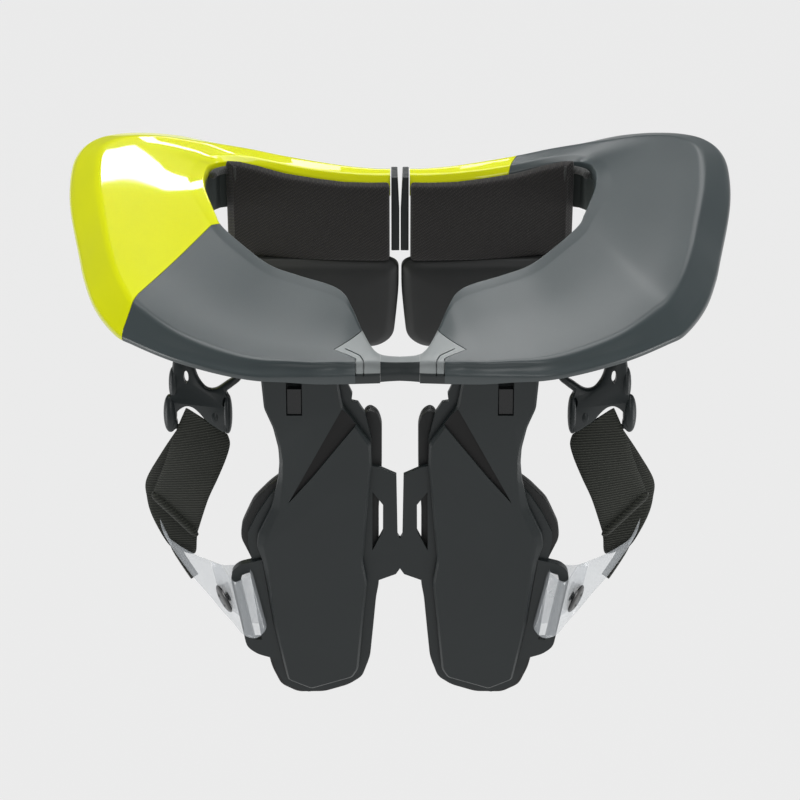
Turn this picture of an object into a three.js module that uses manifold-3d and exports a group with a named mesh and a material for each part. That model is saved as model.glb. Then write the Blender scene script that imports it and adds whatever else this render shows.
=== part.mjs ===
// Motocross neck brace: a split collar table hinged at the back of the neck,
// with a front latch, pads, a two-winged back yoke and a strap on each side.
// Millimetres, +Z up, wearer faces +Y. The origin is the middle of the neck opening.
import * as THREE from 'three';
import Module from 'manifold-3d';
import { mergeVertices } from 'three/addons/utils/BufferGeometryUtils.js';

const wasm = await Module();
wasm.setup();

// Collar sizes
const collarHalfWidth = 177;
const collarFront = 131;
const collarRear = 106;
const openingHalfWidth = 102.5;
const openingFront = 96;
const openingRear = 99;
const lipHeight = 28;
const shellWall = 3;
const edgeRoll = 3;
const footInset = 0.6;
const lipRound = 1.6;
const bevelWidth = 8;
const bridgeHalfWidth = 9.2;
const hingeGrooveWidth = 0.7;

// Front sizes
const latchGap = 0.7;
const latchPlateWidth = 4;
const latchPlateDepth = 12;
const latchDrop = 28;
const chassisWall = 3;
const neckPadThickness = 8;
const neckPadDrop = 32;
const chestPadThickness = 11;
const chestPadTop = -33.5;
const chestPadHeight = 54;
const chestPadWidth = 74;
const padBevel = 1.5;
const latchRise = 5;
const latchSetBack = 2.5;
const latchVee = 8;

// Wing sizes, measured in a plane that leans back by wingTilt degrees
const wingTilt = 10;
const wingPlaneY = -92;
const wingReach = 80;
const wingDrop = 165;
const yokeThickness = 3;
const plateThickness = 5;
const plateEdge = 2;
const wingPadThickness = 10;
const slotWidth = 7.7;
const tabLength = 13;
const tabGap = 0.5;
const tabSink = 1;
const loopThickness = 5;
const recessDepth = 1.8;

// Strap and buckle sizes
const strapWidth = 28;
const elasticThickness = 2;
const clearThickness = 1.5;
const clearLoopRadius = 5;
const barThickness = 3;
const buckleWidth = 33;
const buckleThickness = 7;
const rivetDiameter = 15.4;
const rivetHead = 2;
const rivetRim = 0.6;
const rivetPin = 1.8;

// The gap between pieces that touch
const gap = 0.35;

const material = (color, roughness, metalness = 0) =>
  new THREE.MeshStandardMaterial({ color, roughness, metalness });

const materials = {
  yellow: material(0xdee200, 0.2),
  graphite: material(0x5c6464, 0.45),
  silver: material(0xb0b2b2, 0.4),
  black: material(0x2b2e2e, 0.5),
  fabric: material(0x24201d, 0.9),
  foam: material(0x1e1f1f, 0.6),
  elastic: material(0x2d2d28, 0.9),
  clear: material(0xd8dee0, 0.1),
};

const group = new THREE.Group();

// Solids and booleans

function toSolid(geometry) {
  const bare = geometry.clone();
  bare.deleteAttribute('normal');
  bare.deleteAttribute('uv');
  const merged = mergeVertices(bare, 1e-4);
  return new wasm.Manifold(new wasm.Mesh({
    numProp: 3,
    vertProperties: new Float32Array(merged.attributes.position.array),
    triVerts: new Uint32Array(merged.index.array),
  }));
}

function toGeometry(solid) {
  const mesh = solid.getMesh();
  const geometry = new THREE.BufferGeometry();
  geometry.setAttribute('position', new THREE.BufferAttribute(mesh.vertProperties, 3));
  geometry.setIndex(new THREE.BufferAttribute(mesh.triVerts, 1));
  geometry.computeVertexNormals();
  return geometry;
}

const mirrorX = new THREE.Matrix4().makeScale(-1, 1, 1);

function mirrored(geometry) {
  const copy = geometry.clone().applyMatrix4(mirrorX);
  const index = copy.index ? Array.from(copy.index.array) : null;
  if (!index) {
    return mirrored(mergeVertices(geometry));
  }
  for (let i = 0; i < index.length; i += 3) {
    [index[i], index[i + 1]] = [index[i + 1], index[i]];
  }
  copy.setIndex(index);
  return copy;
}

function add(name, solid, finish) {
  const mesh = new THREE.Mesh(toGeometry(solid), finish);
  mesh.name = name;
  group.add(mesh);
}

// The pieces are drawn on the +X side, which is the wearer's right, and mirrored for the left
function addPair(name, solid, finish) {
  const right = toGeometry(solid);
  for (const [side, geometry] of [['right', right], ['left', mirrored(right)]]) {
    const mesh = new THREE.Mesh(geometry, finish);
    mesh.name = `${name}_${side}`;
    group.add(mesh);
  }
}

// Triangles of a flat outline, turned so that they run the way the outline runs
function capFaces(outline) {
  const faces = THREE.ShapeUtils.triangulateShape(outline, []);
  const next = (i) => (i + 1) % outline.length;
  const forward = faces.some(([a, b, c]) => next(a) === b || next(b) === c || next(c) === a);
  return forward ? faces : faces.map(([a, b, c]) => [a, c, b]);
}

// Joins rings of equal point counts into a closed body; caps follow a flat outline
function loft(rings, capOutline) {
  const count = rings[0].length;
  const positions = rings.flat().flatMap((point) => [point.x, point.y, point.z]);
  const index = [];
  for (let r = 0; r < rings.length - 1; r += 1) {
    for (let i = 0; i < count; i += 1) {
      const a = r * count + i;
      const b = r * count + ((i + 1) % count);
      index.push(a, b, b + count, a, b + count, a + count);
    }
  }
  const last = (rings.length - 1) * count;
  for (const [a, b, c] of capFaces(capOutline(0))) {
    index.push(a, c, b);
  }
  for (const [a, b, c] of capFaces(capOutline(rings.length - 1))) {
    index.push(last + a, last + b, last + c);
  }
  const geometry = new THREE.BufferGeometry();
  geometry.setAttribute('position', new THREE.Float32BufferAttribute(positions, 3));
  geometry.setIndex(index);
  const solid = toSolid(geometry);
  if (solid.volume() < 0) {
    geometry.setIndex(index.map((_, i) => index[i - (i % 3) + [0, 2, 1][i % 3]]));
    return toSolid(geometry);
  }
  return solid;
}

// Moves each point of an outline inwards by its own amount
function insetOutline(outline, amount) {
  const area = THREE.ShapeUtils.area(outline.map(([x, y]) => new THREE.Vector2(x, y)));
  const turn = Math.sign(area);
  return outline.map((point, i) => {
    const a = outline[(i + outline.length - 1) % outline.length];
    const b = outline[(i + 1) % outline.length];
    const length = Math.hypot(b[0] - a[0], b[1] - a[1]);
    const offset = (turn * amount(i)) / length;
    return [point[0] - (b[1] - a[1]) * offset, point[1] + (b[0] - a[0]) * offset];
  });
}

// A solid between two heights on an outline of [x, y] points, with bevelled rims
function slab(outline, from, to, bevel = 0) {
  const inset = insetOutline(outline, () => bevel);
  const ring = (points, z) => points.map(([x, y]) => new THREE.Vector3(x, y, z));
  const rings = bevel > 0
    ? [ring(inset, from), ring(outline, from + bevel), ring(outline, to - bevel), ring(inset, to)]
    : [ring(outline, from), ring(outline, to)];
  const cap = (bevel > 0 ? inset : outline).map(([x, y]) => new THREE.Vector2(x, y));
  return loft(rings, () => cap);
}

const turned = (solid, matrix) => solid.transform(matrix.elements);

// Rounds the corners of an outline by cutting each one with a short arc
function rounded(outline, radius, steps = 3) {
  const result = [];
  outline.forEach((point, i) => {
    const before = outline[(i + outline.length - 1) % outline.length];
    const after = outline[(i + 1) % outline.length];
    const toBefore = [before[0] - point[0], before[1] - point[1]];
    const toAfter = [after[0] - point[0], after[1] - point[1]];
    const lengthBefore = Math.hypot(...toBefore);
    const lengthAfter = Math.hypot(...toAfter);
    const cross = toBefore[0] * toAfter[1] - toBefore[1] * toAfter[0];
    const nearlyStraight = Math.abs(cross) < lengthBefore * lengthAfter * 0.2;
    if (nearlyStraight) {
      result.push(point);
      return;
    }
    const cut = Math.min(radius, lengthBefore * 0.4, lengthAfter * 0.4);
    const start = toBefore.map((value, k) => point[k] + (value / lengthBefore) * cut);
    const end = toAfter.map((value, k) => point[k] + (value / lengthAfter) * cut);
    for (let s = 0; s <= steps; s += 1) {
      const t = s / steps;
      result.push([0, 1].map((k) =>
        (1 - t) ** 2 * start[k] + 2 * t * (1 - t) * point[k] + t ** 2 * end[k]));
    }
  });
  return result;
}

// Collar: stations from the middle of the back, round the side, to the middle of the front.
// lipX, lipY and edgeX, edgeY are shares of the opening's and the collar's half width and
// of their front or rear reach. Heights are shares of lipHeight. crease is the share of the
// way from lip to edge, bevel and rise are shares of bevelWidth, wall and inner of lipHeight.
const columns = ['lipX', 'lipY', 'lipZ', 'edgeX', 'edgeY', 'edgeZ',
  'crease', 'creaseZ', 'bevel', 'rise', 'sag', 'wall', 'inner'];
const stations = [
  [0.000, -1.005, 0.79, 0.000, -0.990, 0.61, 0.62, 0.72, 0.10, -0.02, 0.00, 0.26, 0.24],
  [0.105, -0.985, 0.82, 0.058, -0.995, 0.61, 0.66, 0.73, 0.12, -0.02, 0.00, 0.26, 0.24],
  [0.170, -0.820, 0.87, 0.124, -1.000, 0.61, 0.88, 0.75, 0.30, -0.10, 0.01, 0.26, 0.28],
  [0.230, -0.590, 0.93, 0.184, -1.003, 0.61, 0.93, 0.75, 0.40, -0.12, 0.03, 0.26, 0.30],
  [0.272, -0.466, 0.95, 0.237, -1.003, 0.60, 0.95, 0.75, 0.80, -0.14, 0.04, 0.25, 0.32],
  [0.345, -0.384, 0.95, 0.306, -0.996, 0.58, 0.95, 0.75, 1.00, -0.15, 0.05, 0.21, 0.32],
  [0.488, -0.300, 0.95, 0.401, -0.986, 0.56, 0.94, 0.75, 1.00, -0.15, 0.05, 0.17, 0.32],
  [0.640, -0.192, 0.96, 0.502, -0.925, 0.54, 0.93, 0.76, 1.00, -0.15, 0.05, 0.16, 0.32],
  [0.794, 0.030, 0.97, 0.630, -0.800, 0.50, 0.92, 0.79, 1.00, -0.15, 0.05, 0.16, 0.32],
  [0.892, 0.206, 0.98, 0.745, -0.640, 0.45, 0.88, 0.83, 1.00, -0.14, 0.04, 0.16, 0.32],
  [0.923, 0.312, 0.99, 0.806, -0.525, 0.42, 0.86, 0.86, 1.00, -0.14, 0.04, 0.17, 0.32],
  [0.953, 0.433, 1.00, 0.879, -0.260, 0.42, 0.82, 0.88, 1.05, -0.13, 0.04, 0.18, 0.32],
  [0.988, 0.590, 1.00, 0.941, 0.150, 0.48, 0.80, 0.90, 1.10, -0.13, 0.03, 0.24, 0.32],
  [0.999, 0.690, 1.00, 0.988, 0.500, 0.55, 0.79, 0.92, 1.10, -0.13, 0.03, 0.32, 0.30],
  [1.001, 0.765, 0.99, 1.000, 0.755, 0.62, 0.79, 0.93, 1.10, -0.12, 0.02, 0.38, 0.28],
  [0.995, 0.830, 0.97, 0.985, 0.885, 0.69, 0.79, 0.93, 1.10, -0.10, 0.01, 0.38, 0.24],
  [0.984, 0.885, 0.94, 0.945, 0.955, 0.75, 0.77, 0.93, 1.05, -0.06, 0.00, 0.38, 0.20],
  [0.968, 0.925, 0.89, 0.879, 0.985, 0.79, 0.75, 0.93, 1.00, 0.00, 0.00, 0.38, 0.17],
  [0.942, 0.968, 0.83, 0.800, 0.990, 0.80, 0.68, 0.93, 0.90, 0.10, 0.00, 0.40, 0.15],
  [0.900, 1.000, 0.78, 0.723, 0.985, 0.79, 0.55, 0.91, 0.75, 0.25, 0.00, 0.44, 0.15],
  [0.839, 1.005, 0.76, 0.621, 0.985, 0.70, 0.50, 0.87, 0.60, 0.30, 0.00, 0.46, 0.15],
  [0.741, 0.995, 0.72, 0.486, 0.998, 0.36, 0.42, 0.80, 0.50, 0.34, 0.00, 0.36, 0.15],
  [0.605, 0.974, 0.62, 0.384, 1.000, 0.14, 0.34, 0.75, 0.46, 0.38, 0.00, 0.32, 0.15],
  [0.459, 0.957, 0.53, 0.277, 1.000, -0.07, 0.29, 0.69, 0.42, 0.42, 0.00, 0.30, 0.15],
  [0.293, 0.946, 0.46, 0.172, 1.000, -0.21, 0.24, 0.63, 0.42, 0.44, 0.00, 0.30, 0.15],
  [0.146, 0.942, 0.43, 0.085, 1.000, -0.28, 0.21, 0.60, 0.42, 0.44, 0.00, 0.30, 0.15],
  [0.051, 0.942, 0.43, 0.030, 1.000, -0.28, 0.20, 0.60, 0.42, 0.44, 0.00, 0.30, 0.15],
];
const stepsPerStation = 3;

const reach = (share, front, rear) => share * (share > 0 ? front : rear);

// Spline through the table's rows, one value at a time
function spline(column, position) {
  const last = stations.length - 1;
  const row = Math.min(Math.floor(position), last - 1);
  const t = position - row;
  const value = (i) => stations[Math.max(0, Math.min(last, i))][column];
  const before = value(row - 1);
  const from = value(row);
  const to = value(row + 1);
  const after = value(row + 2);
  return 0.5 * (2 * from + (to - before) * t
    + (2 * before - 5 * from + 4 * to - after) * t ** 2
    + (3 * from - before - 3 * to + after) * t ** 3);
}

function sectionAt(position) {
  const share = Object.fromEntries(columns.map((name, i) => [name, spline(i, position)]));
  const lip = new THREE.Vector3(share.lipX * openingHalfWidth,
    reach(share.lipY, openingFront, openingRear), share.lipZ * lipHeight);
  const edge = new THREE.Vector3(share.edgeX * collarHalfWidth,
    reach(share.edgeY, collarFront, collarRear), share.edgeZ * lipHeight);
  const run = Math.hypot(edge.x - lip.x, edge.y - lip.y);
  const along = new THREE.Vector3((edge.x - lip.x) / run, (edge.y - lip.y) / run, 0);
  const creaseZ = share.creaseZ * lipHeight;
  const bevel = Math.min(share.bevel * bevelWidth, run * 0.4);
  const bevelZ = lip.z + share.rise * bevelWidth;
  const creaseRun = share.crease * run;
  const middle = bevel + (creaseRun - bevel) * 0.5;
  const middleZ = (bevelZ + creaseZ) * 0.5 - share.sag * lipHeight;
  const nose = Math.min(bevel * 0.3, 1);
  const edgeBottom = edge.z - share.wall * lipHeight;
  const innerBottom = lip.z - share.inner * lipHeight;
  // Top from the inner wall's foot, over lip, bevel, crease and edge, to the outer wall's foot
  const top = [
    [footInset, innerBottom],
    [0, Math.max(lip.z - lipRound * 2, innerBottom + footInset)],
    [nose, lip.z],
    [bevel, bevelZ],
    [middle, middleZ],
    [creaseRun, creaseZ],
    [Math.max(run - edgeRoll, creaseRun + 0.5), edge.z + Math.min(0.8, creaseZ - edge.z)],
    [run, edge.z - edgeRoll * 0.7],
    [run - 0.5, edgeBottom],
  ];
  // The underside keeps the wall, and its points keep their order where the table is narrow
  const innerFoot = Math.min(shellWall + footInset, run * 0.4);
  const outerFoot = Math.max(run - 0.5 - shellWall, run * 0.6);
  const hollow = (r) => Math.min(Math.max(r, innerFoot + 0.2), outerFoot - 0.2);
  const under = [
    [outerFoot, edgeBottom],
    [hollow(run - shellWall - 0.2), edge.z - edgeRoll * 0.7 - 1],
    [hollow(creaseRun - 1), creaseZ - shellWall],
    [hollow(middle), middleZ - shellWall],
    [hollow(bevel), bevelZ - shellWall],
    [innerFoot, innerBottom],
  ];
  return { lip, along, top, under };
}

const place = ({ lip, along }, [r, z]) =>
  new THREE.Vector3(lip.x + along.x * r, lip.y + along.y * r, z);

const collarPositions = [];
for (let i = 0; i <= (stations.length - 1) * stepsPerStation; i += 1) {
  collarPositions.push(i / stepsPerStation);
}

function collarHalf() {
  const sections = collarPositions.map(sectionAt);
  const outline = (section) => [...section.top, ...section.under];
  const rings = sections.map((section) => outline(section).map((point) => place(section, point)));
  const cap = (i) => outline(sections[i ? sections.length - 1 : 0])
    .map(([r, z]) => new THREE.Vector2(r, z));
  return loft(rings, cap);
}

// Everything that the shell fills or covers, grown by the gap, to trim what meets it from below
function collarCover() {
  const high = lipHeight * 2;
  const sections = collarPositions.map(sectionAt);
  const outline = ({ top, under }) => {
    const low = [top[0], ...under.slice().reverse(), top[top.length - 1]];
    const grown = low.map(([r, z]) => [r, z - gap]);
    grown[0][0] = -gap;
    grown[1][0] += gap;
    grown[grown.length - 2][0] -= gap;
    grown[grown.length - 1][0] += gap * 3;
    for (let i = 1; i < grown.length; i += 1) {
      grown[i][0] = Math.max(grown[i][0], grown[i - 1][0] + 0.05);
    }
    const first = grown[0];
    const end = grown[grown.length - 1];
    return [...grown, [end[0], high], [first[0], high]];
  };
  const rings = sections.map((section) => outline(section).map((point) => place(section, point)));
  const cap = (i) => outline(sections[i ? sections.length - 1 : 0])
    .map(([r, z]) => new THREE.Vector2(r, z));
  return loft(rings, cap);
}

const half = collarHalf();
const cover = collarCover();
const farBelow = -200;
const farAbove = 200;

// Plan outlines that divide the collar, as shares of the collar's half width and rear reach
const plan = (rows) => rows.map(([x, y]) => [x * collarHalfWidth, y * collarRear]);
const hingeOutline = plan([
  [0.040, -0.900], [0.096, -0.735], [0.176, -0.872], [0.119, -0.944], [0.117, -1.100],
  [0.040, -1.100],
]);
const hingeSeat = plan([
  [-0.100, -0.900], [0.092, -0.725], [0.182, -0.872], [0.1225, -0.946], [0.1205, -1.100],
  [-0.100, -1.100],
]);
const hingeGroove = plan([
  [0.150, -0.868], [0.108, -0.926], [0.099, -0.965], [0.099, -1.100],
]);
const paintBorder = plan([
  [0.500, 0.190], [0.548, 0.188], [0.733, -0.410], [0.752, -0.500], [0.772, -0.560],
  [0.790, -0.700], [1.200, -0.700], [1.200, 1.400], [-0.100, 1.400], [-0.100, 0.500],
]);
const tipBorder = plan([
  [0.310, 0.800], [0.362, 1.030], [0.400, 1.300], [-0.100, 1.300], [-0.100, 0.800],
]);

// A strip of even width along an open line, as one outline
function strip(line, width) {
  const side = (sign) => line.map((point, i) => {
    const a = line[Math.max(0, i - 1)];
    const b = line[Math.min(line.length - 1, i + 1)];
    const length = Math.hypot(b[0] - a[0], b[1] - a[1]);
    const offset = (sign * width) / 2 / length;
    return [point[0] - (b[1] - a[1]) * offset, point[1] + (b[0] - a[0]) * offset];
  });
  return [...side(1), ...side(-1).reverse()];
}

// A cut as wide as the gap along an open line
const gapStrip = (outline) => slab(strip(outline, gap), farBelow, farAbove);

function addShells() {
  const hinge = slab(hingeSeat, farBelow, farAbove);
  const shell = half.subtract(hinge);
  const front = slab(paintBorder, farBelow, farAbove);
  const tip = slab(tipBorder, farBelow, farAbove);
  const flip = (solid) => toSolid(mirrored(toGeometry(solid)));
  const border = gapStrip(paintBorder.slice(0, 7));
  const tipLine = gapStrip(tipBorder.slice(0, 3));
  add('shell_right', shell.subtract(tip).subtract(tipLine), materials.graphite);
  add('shell_right_tip', shell.intersect(tip).subtract(tipLine), materials.yellow);
  add('shell_left_front', flip(shell.intersect(front).subtract(border)), materials.yellow);
  add('shell_left_rear', flip(shell.subtract(front).subtract(border)), materials.graphite);
}

function addHinge() {
  const groove = slab(strip(hingeGroove, hingeGrooveWidth), farBelow, farAbove);
  const bridgeBox = slab([
    [-bridgeHalfWidth, -collarRear * 2], [bridgeHalfWidth, -collarRear * 2],
    [bridgeHalfWidth, 0], [-bridgeHalfWidth, 0],
  ], farBelow, farAbove);
  const plate = half.intersect(slab(hingeOutline, farBelow, farAbove)).subtract(groove)
    .subtract(slab([
      [-bridgeHalfWidth - gap, -collarRear * 2], [bridgeHalfWidth + gap, -collarRear * 2],
      [bridgeHalfWidth + gap, 0], [-bridgeHalfWidth - gap, 0],
    ], farBelow, farAbove));
  addPair('hinge_plate', plate, materials.silver);
  const right = half.intersect(bridgeBox);
  const left = toSolid(mirrored(toGeometry(right)));
  add('rear_bridge', right.add(left), materials.black);
}

// Rings along a line in plan; each has a width across it and a height
function wall(line, inner, outer, bottom, top) {
  const rings = line.map((point, i) => {
    const a = line[Math.max(0, i - 1)];
    const b = line[Math.min(line.length - 1, i + 1)];
    const length = Math.hypot(b[0] - a[0], b[1] - a[1]);
    const across = [-(b[1] - a[1]) / length, (b[0] - a[0]) / length];
    const at = (offset, z) => new THREE.Vector3(
      point[0] + across[0] * offset, point[1] + across[1] * offset, z);
    return [at(inner, bottom[i]), at(outer, bottom[i]), at(outer, top[i]), at(inner, top[i])];
  });
  const square = [[0, 0], [1, 0], [1, 1], [0, 1]].map(([x, y]) => new THREE.Vector2(x, y));
  return loft(rings, () => square);
}

// Front frame: rows run along the rim from the side to the middle. station picks the place
// on the collar, foot is the height of the wall's foot as a share of chestPadHeight
const chassisRows = [
  [13.2, -0.02], [14.2, -0.02], [15.2, -0.03], [16, -0.04], [17, -0.06], [18, -0.08],
  [19, -0.10], [20, -0.16], [21, -0.34], [21.4, -1.30], [22, -1.52], [23, -1.54],
  [24, -1.54], [25, -1.54],
];

function rimLine(rows) {
  return rows.map(([station]) => {
    const { lip } = sectionAt(station);
    return [lip.x, lip.y];
  });
}

function addFrontFrame() {
  const line = rimLine(chassisRows);
  const bottom = chassisRows.map(([, foot]) => foot * chestPadHeight);
  const top = chassisRows.map(() => lipHeight);
  // The line runs towards the middle, so its left-hand side faces the neck
  const body = wall(line, -chassisWall - gap, -gap, bottom, top);
  addPair('front_frame', body.subtract(cover), materials.black);
}

// Neck pad: station on the collar and the top edge as a share of lipHeight
const neckPadRows = [
  [17.5, 0.86], [18.2, 0.82], [19, 0.77], [20, 0.76], [21, 0.69], [22, 0.57], [23, 0.50],
  [24, 0.43], [25, 0.42], [25.8, 0.43],
];
const chestPadOutline = [
  [0.009, -0.02], [0.009, -0.28], [0.030, -0.62], [0.050, -0.88], [0.170, -1.00],
  [0.560, -0.98], [0.860, -0.70], [1.000, -0.10], [0.900, 0.00], [0.100, 0.00],
];

// Stands a flat solid up so that its outline faces the wearer's back and its depth runs to -Y
const upright = (y, z) =>
  new THREE.Matrix4().makeRotationX(Math.PI / 2).setPosition(0, y, z);

function addPads() {
  const line = rimLine(neckPadRows);
  const top = neckPadRows.map(([, share]) => share * lipHeight);
  const bottom = neckPadRows.map(() => -neckPadDrop);
  const pad = wall(line, gap, gap + neckPadThickness, bottom, top);
  addPair('neck_pad', pad.subtract(cover), materials.fabric);

  const outline = chestPadOutline.map(([x, z]) => [x * chestPadWidth, z * chestPadHeight]);
  const block = slab(rounded(outline, 6), 0, chestPadThickness, padBevel);
  const seat = upright(sectionAt(25).lip.y - gap, chestPadTop);
  addPair('chest_pad', turned(block, seat), materials.foam);
}

function addLatch() {
  const front = sectionAt(stations.length - 1).lip;
  const top = front.z + latchRise;
  const outline = [
    [latchGap * 2, top], [latchGap + latchPlateWidth, top],
    [latchGap + latchPlateWidth, -latchDrop], [latchGap / 2, -latchDrop],
    [latchGap / 2, -latchVee],
  ];
  const block = slab(outline, 0, latchPlateDepth, 0.4);
  const back = front.y + latchPlateDepth - latchSetBack;
  addPair('latch_plate', turned(block, upright(back, 0)), materials.black);
}

// The wing plane: x across, w up along the wing, n out towards the back
const tilt = THREE.MathUtils.degToRad(wingTilt);
const wingMatrix = new THREE.Matrix4().makeBasis(
  new THREE.Vector3(1, 0, 0),
  new THREE.Vector3(0, Math.sin(tilt), Math.cos(tilt)),
  new THREE.Vector3(0, -Math.cos(tilt), Math.sin(tilt)),
).setPosition(0, wingPlaneY, 0);
const wing = (rows) => rows.map(([x, w]) => [x * wingReach, w * wingDrop]);
const wingSolid = (outline, from, to, bevel) =>
  turned(slab(outline, from, to, bevel), wingMatrix);

// Outer plate of a wing: x as a share of wingReach, w of wingDrop, bevel in plateEdge
const plateRows = [
  [0.870, 0.130, 0.5], [0.828, -0.053, 0.5], [0.776, -0.115, 0.6], [0.745, -0.182, 0.8],
  [0.740, -0.228, 1.4], [0.750, -0.284, 2.2], [0.793, -0.376, 4.6], [0.880, -0.465, 5.0],
  [0.888, -0.505, 2.6], [0.855, -0.553, 1.3], [0.824, -0.653, 1.0], [0.796, -0.755, 0.8],
  [0.761, -0.841, 0.7], [0.709, -0.957, 0.6], [0.561, -0.989, 0.6], [0.299, -0.949, 0.6],
  [0.262, -0.920, 0.6], [0.229, -0.745, 0.6], [0.204, -0.626, 0.6], [0.230, -0.553, 0.6],
  [0.201, -0.384, 0.6], [0.175, -0.245, 0.6], [0.178, -0.170, 0.6], [0.346, -0.048, 0.6],
  [0.406, 0.130, 0.5],
];
const slotLow = -0.073;
const slotCentre = 0.643;
const recess = [[0.354, -0.053], [0.259, -0.099], [0.537, -0.273], [0.690, -0.360]];

function addPlate() {
  const points = wing(plateRows);
  const inset = insetOutline(points, (i) => plateRows[i][2] * plateEdge);
  const back = yokeThickness + gap;
  const ring = (outline, n) => outline.map(([x, w]) =>
    new THREE.Vector3(x, w, n).applyMatrix4(wingMatrix));
  const rings = [
    ring(points, back),
    ring(points, back + plateThickness - plateEdge),
    ring(inset, back + plateThickness),
  ];
  const cap = (i) => (i ? inset : points).map(([x, w]) => new THREE.Vector2(x, w));
  const centre = slotCentre * wingReach;
  const bottom = slotLow * wingDrop;
  const slot = [
    [centre - slotWidth / 2, bottom], [centre + slotWidth / 2, bottom],
    [centre + slotWidth / 2, farAbove], [centre - slotWidth / 2, farAbove],
  ];
  const tab = [
    [centre - slotWidth / 2 + tabGap, bottom + tabGap],
    [centre + slotWidth / 2 - tabGap, bottom + tabGap],
    [centre + slotWidth / 2 - tabGap, bottom + tabGap + tabLength],
    [centre - slotWidth / 2 + tabGap, bottom + tabGap + tabLength],
  ];
  const face = back + plateThickness;
  const body = loft(rings, cap)
    .subtract(wingSolid(slot, 0, face + 5))
    .subtract(wingSolid(wing(recess), face - recessDepth, face + 5));
  addPair('wing_plate', body.subtract(cover), materials.black);
  addPair('slot_tab', wingSolid(tab, back, face - tabSink), materials.black);
}

// Yoke: half outline from the slot between the wings, up the arm, down the outside and
// back along the inside to the middle
const yokeRows = [
  [0.000, -0.490], [0.015, -0.478], [0.022, -0.280], [0.131, -0.255], [0.172, -0.250],
  [0.175, -0.160], [0.215, -0.077], [0.256, -0.045], [0.296, -0.041], [0.290, -0.017],
  [0.317, 0.012], [0.330, 0.140], [0.850, 0.140], [0.800, -0.060],
  [0.735, -0.180], [0.720, -0.300], [0.800, -0.345], [0.880, -0.405], [0.945, -0.470],
  [0.945, -0.505], [0.920, -0.565], [0.840, -0.850], [0.780, -0.940], [0.720, -0.990],
  [0.580, -1.012], [0.480, -1.005], [0.325, -0.982], [0.246, -0.955], [0.204, -0.910],
  [0.176, -0.805], [0.160, -0.698], [0.136, -0.630], [0.026, -0.609], [0.000, -0.590],
];
const yokeWindow = [[0.170, -0.335], [0.105, -0.378], [0.106, -0.465], [0.172, -0.530]];
const loopOuter = [
  [0.800, -0.548], [1.000, -0.573], [1.045, -0.592], [1.055, -0.622], [0.965, -0.850],
  [0.900, -0.875], [0.730, -0.900],
];
const loopInner = [
  [0.935, -0.597], [0.985, -0.606], [0.996, -0.630], [0.915, -0.826], [0.870, -0.826],
];

function addYoke() {
  const points = wing(yokeRows);
  const across = points.slice(1, -1).reverse().map(([x, w]) => [-x, w]);
  const window = wing(yokeWindow);
  const windowLeft = window.map(([x, w]) => [-x, w]).reverse();
  const body = wingSolid([...points, ...across], 0, yokeThickness)
    .subtract(wingSolid(window, -1, yokeThickness + 1))
    .subtract(wingSolid(windowLeft, -1, yokeThickness + 1));
  const loopCut = wingSolid(wing(loopInner), -1, loopThickness + 1);
  const loop = wingSolid(rounded(wing(loopOuter), 3), 0, loopThickness).subtract(loopCut);
  // The plate sits in front of the yoke, so the loop stops short of it
  const seatOutline = wing(plateRows).map(([x, w]) => [x > wingReach / 2 ? x + gap : x, w]);
  const seat = wingSolid(seatOutline, yokeThickness, loopThickness * 2);
  const right = loop.subtract(seat);
  const left = toSolid(mirrored(toGeometry(right)));
  const whole = body.subtract(loopCut)
    .subtract(toSolid(mirrored(toGeometry(loopCut))));
  const trimmed = whole.add(right).add(left).subtract(cover)
    .subtract(toSolid(mirrored(toGeometry(cover))));
  add('back_yoke', trimmed, materials.black);
}

// Foam behind each wing
const wingPadRows = [
  [0.112, -0.262], [0.111, -0.125], [0.134, -0.092], [0.178, -0.078], [0.212, -0.084],
  [0.300, -0.200], [0.720, -0.290], [0.810, -0.325], [0.909, -0.376], [0.948, -0.417],
  [0.988, -0.462], [0.990, -0.500], [0.925, -0.570], [0.855, -0.850], [0.810, -0.940],
  [0.756, -0.998], [0.649, -1.025], [0.479, -1.024], [0.325, -1.000], [0.240, -0.972],
  [0.189, -0.901], [0.170, -0.805], [0.150, -0.698], [0.132, -0.650], [0.132, -0.400],
];

function addWingPads() {
  const outline = rounded(wing(wingPadRows), 3, 2);
  const pad = wingSolid(outline, -gap - wingPadThickness, -gap, padBevel);
  addPair('wing_pad', pad, materials.foam);
}

// A flat strip along a route of rulings: each row is the middle of the strip, the direction
// across it and its width. Its thickness is measured square to both
function ribbon(rows, thickness, steps) {
  const curve = (points) => new THREE.CatmullRomCurve3(points, false, 'centripetal');
  const centres = rows.map(({ at }) => new THREE.Vector3(...at));
  const count = rows.length - 1;
  const value = (list, t) => {
    const i = Math.min(Math.floor(t * count), count - 1);
    return new THREE.Vector3().lerpVectors(list[i], list[i + 1], t * count - i);
  };
  const middle = curve(centres);
  const across = rows.map(({ across }) => new THREE.Vector3(...across).normalize());
  const widths = rows.map(({ width }) => new THREE.Vector3(width, 0, 0));
  const rings = [];
  for (let s = 0; s <= count * steps; s += 1) {
    const t = s / (count * steps);
    const centre = middle.getPoint(t);
    const tangent = middle.getTangent(t);
    const side = value(across, t).normalize();
    const normal = new THREE.Vector3().crossVectors(tangent, side).normalize();
    const halfWidth = value(widths, t).x / 2;
    const corner = (w, n) => centre.clone().addScaledVector(side, w * halfWidth)
      .addScaledVector(normal, (n * thickness) / 2);
    rings.push([corner(-1, -1), corner(1, -1), corner(1, 1), corner(-1, 1)]);
  }
  const square = [[0, 0], [1, 0], [1, 1], [0, 1]].map(([x, y]) => new THREE.Vector2(x, y));
  return loft(rings, () => square);
}

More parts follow.
